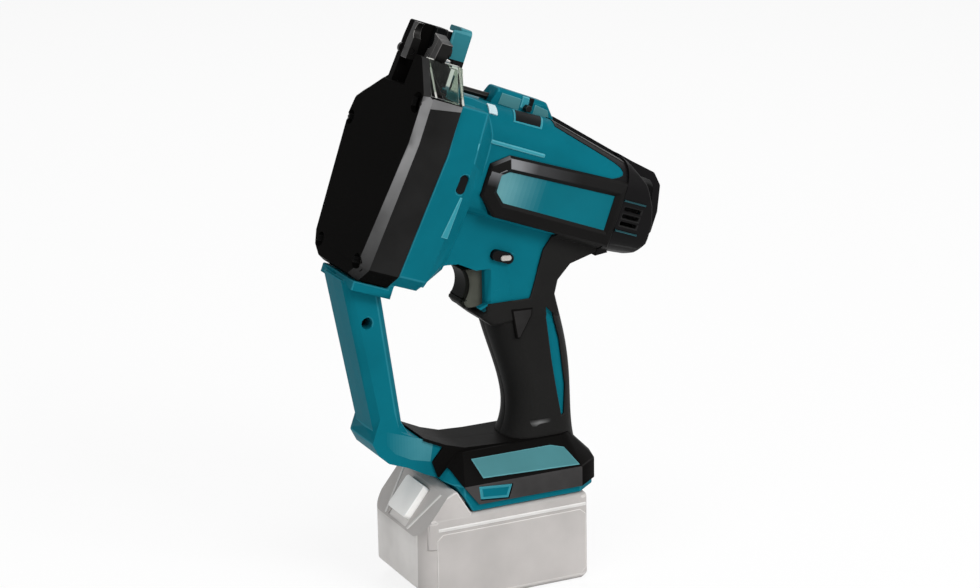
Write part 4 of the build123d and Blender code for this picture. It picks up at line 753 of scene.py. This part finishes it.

# Rear cover: black glass-filled nylon over the fan, screwed on from behind, with a tongue along the crown
# and a tether loop. Two slim ribs run back on each side of its vent block, and their teal grey is a painted reflection.
black_nylon = moulded("black_moulding", (0.0045, 0.0042, 0.0045), (0.016, 0.016, 0.016), gloss=0.42,
                      specular=0.07)
rib_reflection = moulded("black_moulding.edge", (0.006, 0.05, 0.06), (0.03, 0.1, 0.12), gloss=0.35)
REAR_HALF, REAR_FROM, REAR_TAPER = 32.0, 160.3, 0.0875
REAR_RIB_T, REAR_RIB_OUT, REAR_RIB_H, REAR_RIB_HALF = (161.0, 177.5), (-0.8, 0.6), (7.0, -12.2), 0.5
piece(softened("rear_cover", width=0.0009), "rear_cover_moulding", black_nylon, "tool", "rear_cover")


def on_rear(side):
    """A placing on the rear cover's tapering side: station, distance out of the side, height."""
    return lambda t, out, h: head(t, side * (REAR_HALF - (t - REAR_FROM) * REAR_TAPER + out), h)


for name, side in LEFT_AND_RIGHT:
    for number, height in enumerate(REAR_RIB_H):
        limits = (height - REAR_RIB_HALF, height + REAR_RIB_HALF)
        bar = rounded_box(on_rear(side), REAR_RIB_T, REAR_RIB_OUT, limits, width=0.0003)
        piece(bar, f"rear_rib_{name}_{number + 1}", rib_reflection, "tool")

# Crown skirts: the black nylon of the rear cover runs forward along both shoulders of the crown, and its
# lower edge turns down round the end of the teal flank. A slim raised line follows the tongue, painted grey as a
# highlight.
SKIRT = [(103, 56), (130, 52.5), (143, 50.6), (150, 48.6), (154.6, 44), (156.6, 37), (156.3, 29),
         (153.6, 20.5), (149, 11), (149, 6), (160.8, 6), (160.8, 104), (103, 104)]
CROWN_LINE = [(106, 70), (159, 66), (159, 69), (106, 73)]
FLAT_FROM, FLAT_RATE = 90.0, 0.3


def on_crown(side):
    """A placing on the crown: station, turn in degrees from the flank upwards, distance out."""
    def place(t, turn, out):
        angle = radians(min(turn, FLAT_FROM))
        flat = max(0.0, turn - FLAT_FROM) * FLAT_RATE
        across = BARREL_HALF - BARREL_ROUND + (BARREL_ROUND + out) * cos(angle) - flat
        return head(t, side * across, crown(t) - BARREL_ROUND + (BARREL_ROUND + out) * sin(angle))
    return place


line_highlight = moulded("black_moulding.line", (0.035, 0.034, 0.033), (0.06, 0.058, 0.055), gloss=0.4)
for name, side in LEFT_AND_RIGHT:
    skirt = raised_plate(SKIRT, on_crown(side), near=-0.5, far=0.5, width=0.2, cuts=range(12, 100, 6))
    piece(skirt, f"crown_skirt_{name}", black_nylon, "tool")
    line = raised_plate(CROWN_LINE, on_crown(side), near=0.2, far=0.9, width=0.15)
    piece(line, f"crown_line_{name}", line_highlight, "tool")

# Key windows: a black plate in each shoulder under the hump, painted shade for a dark opening, in the black of the
# hump's band.
# A pale lip, moulded in one with the teal half, goes round it.
KEY_LIP = [(74.7, 79), (97.0, 86.5), (92.8, 38.5), (72.8, 37.5)]
KEY_WINDOW = [(75.9, 76), (95.5, 83), (91.6, 42), (74.0, 41)]
KEY_PLATES = (("lip", KEY_LIP, 0.25, pale_teal), ("window", KEY_WINDOW, 0.45, hump_black))
for name, side in LEFT_AND_RIGHT:
    for part, outline, far, finish in KEY_PLATES:
        plate = raised_plate(outline, on_crown(side), -0.4, far, width=0.15, cuts=range(42, 84, 6))
        piece(plate, f"key_{part}_{name}", finish, "tool")

# Pale patches: a small pale plate in the shoulder behind each flank of the head. It sits almost flush, with a
# rounded edge.
patch_paint = moulded("silver_moulding.lens", (0.52, 0.66, 0.7), (0.6, 0.7, 0.74), gloss=0.25)
PALE_PATCH = [(55.6, 42), (61.4, 42), (61.4, 70), (55.6, 70)]
for name, side in LEFT_AND_RIGHT:
    lens = raised_plate(PALE_PATCH, on_crown(side), near=-0.5, far=0.45, width=0.3, cuts=range(48, 70, 6))
    piece(lens, f"lamp_window_{name}", patch_paint, "tool")

# Front cover: die cast aluminium in satin black over the cam room, bolted on, its right wall standing up as
# a jaw. The long chamfer round the face carries a painted reflection, a dull grey that fades downwards, the side
# walls a faint painted sheen, and on the left wall the seat under the chip guard is painted pale.
CAST_GRAIN = {"grain": 1900.0, "depth": 0.14}
black_coat = moulded("black_casting", (0.0042, 0.004, 0.0038), (0.24, 0.24, 0.242), gloss=0.42,
                     specular=0.002, **CAST_GRAIN)
STRIP_FACING, STRIP_ACROSS, STRIP_DEPTH, STRIP_TOP = (0.12, 0.93), 0.3, 7.5, 36.0
STRIP_DARK, STRIP_BRIGHT, STRIP_LEAST, STRIP_ABOVE = -80.0, 2.0, 0.08, 0.12
WALL_FACING, WALL_TOP, WALL_OUT, WALL_SHEEN = 0.93, 38.0, 0.0465, 0.055
SEAT_LOW, SEAT_LEAN, SEAT_SHEEN = head(8.0, 0.0, 30.2), radians(8.4), 0.8
SEAT_UP = cos(SEAT_LEAN) * UP - sin(SEAT_LEAN) * BACK


def cover_grey_marks(face, corner):
    """How grey the coat is at a corner of a face: the chamfer's painted reflection brightens upwards as far as its
    upper bend, the side walls take a faint painted sheen, and the guard's seat is painted pale."""
    facing = -face.normal.dot(BACK)
    across = abs(face.normal.y)
    centre = face.calc_center_median()
    middle = (centre - NOSE) * 1000
    on_strip = STRIP_FACING[0] < facing < STRIP_FACING[1] and across > STRIP_ACROSS
    if on_strip and middle.dot(BACK) < STRIP_DEPTH:
        height = (corner - NOSE).dot(UP) * 1000
        bright = max(0.0, min(1.0, (height - STRIP_DARK) / (STRIP_BRIGHT - STRIP_DARK)))
        return STRIP_ABOVE if middle.dot(UP) > STRIP_TOP else STRIP_LEAST + (1.0 - STRIP_LEAST) * bright
    if across > WALL_FACING and middle.dot(UP) < WALL_TOP:
        on_seat = centre.y < -WALL_OUT and (centre - SEAT_LOW).dot(SEAT_UP) > 0
        return SEAT_SHEEN if on_seat else WALL_SHEEN
    return 0.0


cover = softened("front_cover", width=0.0011, segments=3)
wall = [face for face in cover.faces if face.normal.y < -WALL_FACING]
edges = {edge for face in wall for edge in face.edges}
verts = {vert for face in wall for vert in face.verts}
bmesh.ops.bisect_plane(cover, geom=[*verts, *edges, *wall], plane_co=SEAT_LOW, plane_no=SEAT_UP)
cover.faces.layers.float.remove(cover.faces.layers.float["rim"])
rim = cover.loops.layers.float.new("rim")
for face in cover.faces:
    for loop in face.loops:
        loop[rim] = cover_grey_marks(face, loop.vert.co)
piece(cover, "front_cover_casting", black_coat, "tool", "front_cover")

# Steel fittings: socket bolts, screws, the dies with their screws, the arm and the stored key, all blackened;
# the dies and the arm have brighter edges, partly bare steel and partly a painted highlight. The rod rest among
# them is cast and coated as the cover is.
black_oxide = moulded("black_steel", (0.012, 0.0115, 0.011), (0.05, 0.048, 0.045), gloss=0.4, grain=3200.0,
                      depth=0.08, metallic=0.6)
dark_steel = moulded("tool_steel.dark", (0.014, 0.0135, 0.013), (0.16, 0.155, 0.15), gloss=0.36,
                     grain=3600.0, depth=0.08, metallic=0.6)
cast_rest = moulded("black_casting.rest", (0.0055, 0.0062, 0.0065), (0.035, 0.035, 0.035), gloss=0.42,
                    specular=0.02, **CAST_GRAIN)
FITTINGS = (("cover_bolts", "tool", black_oxide), ("housing_screws", "tool", black_oxide),
            ("fixed_die_screw", "tool", black_oxide), ("moving_die_screw", "arm", black_oxide),
            ("hex_key", "tool", black_oxide), ("rod_rest", "tool", cast_rest),
            ("cutter_arm", "arm", dark_steel), ("fixed_die", "tool", dark_steel),
            ("moving_die", "arm", dark_steel))
for node, body, finish in FITTINGS:
    piece(softened(node, width=0.0003), f"{node}_metal", finish, body, node)

# Rod latch: a lever that swings across the jaw's notch on a pin through the rest. Its block is moulded in
# teal nylon, and the eye below it, which turns on the pin, is black.
latch_teal = moulded("teal_moulding.latch", (0.024, 0.165, 0.2), (0.06, 0.24, 0.28), gloss=0.36,
                     specular=0.05)
LATCH_WAIST = head(0.0, 0.0, 59.8)
LATCH_PARTS = (("block", latch_teal, {"clear_inner": True}), ("eye", black_nylon, {"clear_outer": True}))
for part, finish, cleared in LATCH_PARTS:
    latch = softened("rod_latch", width=0.0012, segments=3)
    cut_through(latch, LATCH_WAIST, UP, **cleared)
    piece(latch, f"rod_latch_{part}", finish, "latch", "rod_latch")

# Chip guard: a clear polycarbonate hood over the cutting gap, thermoformed from one sheet and clipped to
# the front cover. The sheet is slightly smoked.
clear_sheet = moulded("clear_guard", (0.5, 0.57, 0.5), (0.65, 0.7, 0.64), gloss=0.09, grain=900.0,
                      depth=0.02, specular=0.5)
glass = clear_sheet.node_tree.nodes["Principled BSDF"]
glass.inputs["Transmission Weight"].default_value = 1.0
glass.inputs["IOR"].default_value = 1.2
piece(softened("chip_guard", width=0.0004), "chip_guard_sheet", clear_sheet, "tool", "chip_guard")

# Guard frame: the edges of the hood show as pale bars along its front, top and back, painted highlights. A
# black coated triangle covers its lower front corner.
edge_highlight = moulded("clear_guard.edge", (0.5, 0.5, 0.47), (0.62, 0.64, 0.6), gloss=0.25)
GUARD_OUT, GUARD_LEVEL, GUARD_ACROSS, GUARD_DOWN = -26.0, 57.0, -0.7286, -0.6852
GUARD_FRONT, GUARD_BACK, GUARD_LONG, DARK_CORNER_LEAN, BAR_LEAN = 4.4, 26.8, 29.4, 8.4, 2.6
FRONT_WIDE, TOP_WIDE, BACK_WIDE = 1.3, 1.6, 1.4
bar_low = GUARD_FRONT + BAR_LEAN
back_bar = GUARD_BACK - BACK_WIDE
GUARD_EDGES = {
    "front": [(GUARD_FRONT, 0), (GUARD_FRONT + FRONT_WIDE, 0), (bar_low + FRONT_WIDE, GUARD_LONG),
              (bar_low, GUARD_LONG)],
    "top": [(GUARD_FRONT, 0), (GUARD_BACK, 0), (GUARD_BACK, TOP_WIDE), (GUARD_FRONT, TOP_WIDE)],
    "back": [(back_bar, 0), (GUARD_BACK, 0), (GUARD_BACK, GUARD_LONG), (back_bar, GUARD_LONG)]}
GUARD_DARK_CORNER = [(GUARD_FRONT, 0.5), (GUARD_FRONT + DARK_CORNER_LEAN, GUARD_LONG), (GUARD_FRONT, GUARD_LONG)]


def on_guard(t, run, out):
    """A placing on the sloping face of the hood: station, way down the slope, distance out of it."""
    across = GUARD_OUT + run * GUARD_ACROSS + out * GUARD_DOWN
    return head(t, across, GUARD_LEVEL + run * GUARD_DOWN - out * GUARD_ACROSS)


for name, outline in GUARD_EDGES.items():
    bar = raised_plate(outline, on_guard, near=0.0, far=0.7, width=0.2)
    piece(bar, f"guard_edge_{name}", edge_highlight, "tool")
dark_corner = raised_plate(GUARD_DARK_CORNER, on_guard, near=0.0, far=0.45, width=0.2)
piece(dark_corner, "guard_clip", black_coat, "tool")

# Slot shades: a black oval plate in each slot on the flanks of the head, painted shade for the slot's dark
# inside. Each is thin, with a rounded edge, and sits below the flank's surface.
SLOT_SHADE_SPOT, SLOT_SHADE_RADIUS, SLOT_SHADE_REACH = (-28.4, 269.1), 2.9, 3.0


def oval_form(place, radius, reach, near, far, width):
    """An oval button: a disc drawn out both ways, given its depth and a rounded edge."""
    bm = bmesh.new()
    bmesh.ops.create_circle(bm, cap_ends=True, radius=radius, segments=32)
    disc = list(bm.faces)
    for vert in bm.verts:
        vert.co.y += reach if vert.co.y > 0 else -reach
        vert.co.z = near
    grown = bmesh.ops.extrude_face_region(bm, geom=disc)["geom"]
    top = [item for item in grown if isinstance(item, bmesh.types.BMFace)][0]
    for vert in top.verts:
        vert.co.z = far
    bmesh.ops.bevel(bm, geom=list(top.edges), offset=width, offset_type="OFFSET", affect="EDGES",
                    segments=3, profile=0.5, clamp_overlap=True, material=-1)
    for vert in bm.verts:
        vert.co = place(*vert.co)
    bmesh.ops.recalc_face_normals(bm, faces=bm.faces)
    return bm


def turned_on_side(side, spot, angle):
    """A placing on the tool's side, centred on a spot, its second axis leaning by the angle."""
    c, s = cos(angle), sin(angle)
    return lambda a, b, out: plain(spot[0] + c * a + s * b, side * out, spot[1] - s * a + c * b)


for name, side in LEFT_AND_RIGHT:
    slot = turned_on_side(side, SLOT_SHADE_SPOT, TILT)
    slot_shade = oval_form(slot, SLOT_SHADE_RADIUS, SLOT_SHADE_REACH, near=44.0, far=44.7, width=0.3)
    piece(slot_shade, f"flare_plug_{name}", black_nylon, "tool")

# Trigger: a black glass-filled nylon lever with a hollowed finger face, sliding back towards the switch.
# Its sides are painted a dull grey as a highlight, and its rounded edges take a weaker one.
dark_nylon = moulded("grey_moulding", (0.006, 0.006, 0.005), (0.075, 0.077, 0.063), gloss=0.45,
                     specular=0.03)
LEVER_SIDE, LEVER_RIM_HIGHLIGHT = 0.8, 0.1
lever = softened("trigger", width=0.0012, segments=3)
rim = lever.faces.layers.float["rim"]
for face in lever.faces:
    face[rim] = 1.0 if abs(face.normal.y) > LEVER_SIDE else LEVER_RIM_HIGHLIGHT * face[rim]
piece(lever, "trigger_lever", dark_nylon, "trigger", "trigger")

# Cross lock: a black nylon slide of oval section, pushed across through the web above the trigger. A small
# silver nub is set in its left end.
silver_nylon = moulded("silver_moulding", (0.42, 0.4, 0.37), (0.6, 0.58, 0.55), gloss=0.35)
NUB_SPOT, NUB_LEAN, NUB_RADIUS, NUB_REACH = (10.8, 212.9), pi / 2 + radians(4), 1.7, 1.9
slide = softened("lock_button", width=0.0008, segments=3)
piece(slide, "lock_button_slide", black_nylon, "lock", "lock_button")
nub_place = turned_on_side(-1, NUB_SPOT, NUB_LEAN)
nub = oval_form(nub_place, NUB_RADIUS, NUB_REACH, near=21.0, far=22.4, width=0.5)
piece(nub, "lock_button_nub", silver_nylon, "lock")

# Battery pack: a pale grey case moulded in two halves, seamed at mid height and screwed together. A white
# nylon button in the slope of its front frees it.
grey_case = moulded("pack_shell", (0.47, 0.447, 0.433), (0.72, 0.7, 0.68), gloss=0.45, specular=0.1)
white_nylon = moulded("pack_button", (0.94, 0.93, 0.91), (0.95, 0.95, 0.94), gloss=0.42)
CASE_FRONT, CASE_RIM_HIGHLIGHT = 0.9, 0.5
# The front faces of the case are painted paler as a highlight, and its rounded edges take a weaker painted highlight.
for part in ("battery_lower", "battery_upper"):
    case = softened(part, width=0.001, segments=3)
    rim = case.faces.layers.float["rim"]
    for face in case.faces:
        face[rim] = 1.0 if face.normal.x < -CASE_FRONT else CASE_RIM_HIGHLIGHT * face[rim]
    piece(case, f"{part}_case", grey_case, "battery", part)
button = softened("battery_button", width=0.0008, segments=3)
piece(button, "battery_button_cap", white_nylon, "release", "battery_button")

# Button seal and slope creases: a pale foam seal under the button, which gives way as the button is pressed,
# and a crease moulded up each side of the slope, painted pale as a highlight.
pale_case = moulded("pack_shell.pale", (0.66, 0.645, 0.63), (0.75, 0.74, 0.73), gloss=0.42)
SLOPE_MIDDLE = Vector((-0.0485, 0.0, 0.0585))
SLOPE_RISE = Vector((0.6247, 0.0, 0.7809))
SLOPE_OUTWARD = Vector((-SLOPE_RISE.z, 0.0, SLOPE_RISE.x))
SEAL_ACROSS, SEAL_RISE, SEAL_OUT, SEAL_LEFT_OVER = (-12.3, 12.3), (-14.3, -9.95), (-5.0, -0.4), 0.1
CREASE = [(15.4, -14.6), (27.4, 14.6), (29.2, 14.6), (17.4, -14.6)]


def on_slope(across, rise, out):
    """A placing on the slope of the pack: to the right, up the slope and out of it, in millimetres."""
    return SLOPE_MIDDLE + (across * RIGHT + rise * SLOPE_RISE + out * SLOPE_OUTWARD) / 1000


foam = rounded_box(on_slope, SEAL_ACROSS, SEAL_RISE, SEAL_OUT, width=0.0004)
seal = piece(foam, "battery_button_seal", pale_case, "battery")
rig.squash(seal, "release_press", SLOPE_RISE, on_slope(0, SEAL_RISE[0], 0), SEAL_LEFT_OVER)
for name, side in LEFT_AND_RIGHT:
    outline = [(side * across, rise) for across, rise in CREASE]
    crease = raised_plate(outline, on_slope, near=-0.3, far=0.5, width=0.3)
    piece(crease, f"slope_crease_{name}", pale_case, "battery")

# Pack sides: a shallow raised field on each flank with a rim bar above it, painted paler as a highlight. Both
# are moulded in one with the grey case and have rounded edges.
FIELD = [(-47, 6), (-43, 4), (52, 4), (56, 8), (56, 44), (52, 47.5), (-43, 47.5), (-47, 44)]
PACK_RIM_X, PACK_RIM_Z, PACK_RIM_OUT = (-46.0, 56.0), (49.4, 51.6), (37.0, 38.1)
for name, side in LEFT_AND_RIGHT:
    field = raised_plate(FIELD, on_side(side), near=37.0, far=38.0, width=0.4)
    piece(field, f"pack_field_{name}", grey_case, "battery")
    bar = rounded_box(on_side(side), PACK_RIM_X, PACK_RIM_Z, PACK_RIM_OUT, width=0.0005)
    piece(bar, f"pack_rim_{name}", pale_case, "battery")

# Parts inside: gears, bearings, motor, electrics and cells, seen only through the openings. The gears and
# rings are ground steel, pins and springs bright steel, the winding enamelled copper and the cells sleeved
# cans. They keep the forms of the solids.
ground_steel = moulded("tool_steel", (0.3, 0.29, 0.28), (0.5, 0.49, 0.48), gloss=0.3, grain=4200.0,
                       depth=0.06, metallic=1.0)
bright_steel = moulded("bright_steel", (0.42, 0.42, 0.41), (0.6, 0.6, 0.58), gloss=0.24, grain=3600.0,
                       depth=0.05, metallic=1.0)
raw_casting = moulded("bare_casting", (0.36, 0.365, 0.37), (0.5, 0.5, 0.5), gloss=0.5, grain=1200.0,
                      depth=0.2, metallic=1.0)
copper = moulded("copper_winding", (0.4, 0.11, 0.035), (0.5, 0.18, 0.08), gloss=0.34, grain=5200.0,
                 depth=0.2, metallic=1.0)
nickel = moulded("magnet", (0.2, 0.2, 0.21), (0.3, 0.3, 0.31), gloss=0.35, grain=2600.0, depth=0.08,
                 metallic=1.0)
cell_sleeve = moulded("cell_can", (0.1, 0.16, 0.22), (0.3, 0.33, 0.36), gloss=0.38, grain=1600.0, depth=0.06)
contact_brass = moulded("board_brass", (0.5, 0.36, 0.11), (0.62, 0.47, 0.2), gloss=0.3, grain=3200.0,
                        depth=0.06, metallic=1.0)
INSIDE = ((bright_steel, ("arm_pivot_pin", "roller_pin", "latch_pin", "cam_shaft", "bearings", "stator",
                          "rotor_core", "rotor_shaft", "arm_spring")),
          (raw_casting, ("gear_case",)), (copper, ("stator_coils",)), (nickel, ("rotor_magnets",)),
          (black_nylon, ("cooling_fan", "power_switch", "controller", "terminal_block", "cell_holders")),
          (cell_sleeve, ("battery_cells",)), (contact_brass, ("battery_contacts",)),
          (black_oxide, ("battery_screws",)),
          (ground_steel, ("cam_roller", "cam_gear", "cam", "output_carrier", "first_carrier", "ring_gear",
                          "planet_1_1", "planet_1_2", "planet_1_3", "planet_2_1", "planet_2_2",
                          "planet_2_3")))
for finish, held in INSIDE:
    for node in held:
        nodes[node].data.materials.clear()
        nodes[node].data.materials.append(finish)

# Return springs: wound music wire, one behind the trigger and one under the pack's button. Each stands on a
# fixed seat and shortens with the stroke.
TRIGGER_SHORTENS, BUTTON_SPRING_SEAT, BUTTON_LEFT_OVER = 0.0066, (0.0, -13.9, -3.0), 0.6
low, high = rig.box("trigger_spring")
trigger_seat = Vector((high[0], (low[1] + high[1]) / 2, (low[2] + high[2]) / 2))
trigger_left_over = 1.0 - TRIGGER_SHORTENS / (high[0] - low[0])
SPRINGS = (("trigger_spring", "tool", "trigger_pull", Vector((1, 0, 0)), trigger_seat, trigger_left_over),
           ("button_spring", "battery", "release_press", SLOPE_RISE, on_slope(*BUTTON_SPRING_SEAT),
            BUTTON_LEFT_OVER))
for node, body, joint, axis, seat, left_over in SPRINGS:
    bm = bmesh.new()
    bm.from_mesh(nodes[node].data)
    bmesh.ops.remove_doubles(bm, verts=bm.verts, dist=WELD)
    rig.squash(piece(bm, f"{node}_wire", bright_steel, body, node), joint, axis, seat, left_over)

bpy.context.view_layer.update()
low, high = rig.bounds()
with open("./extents.json", "w") as out:
    json.dump({"cad": [list(cad_box[0]), list(cad_box[1])], "visual": [list(low), list(high)]}, out)
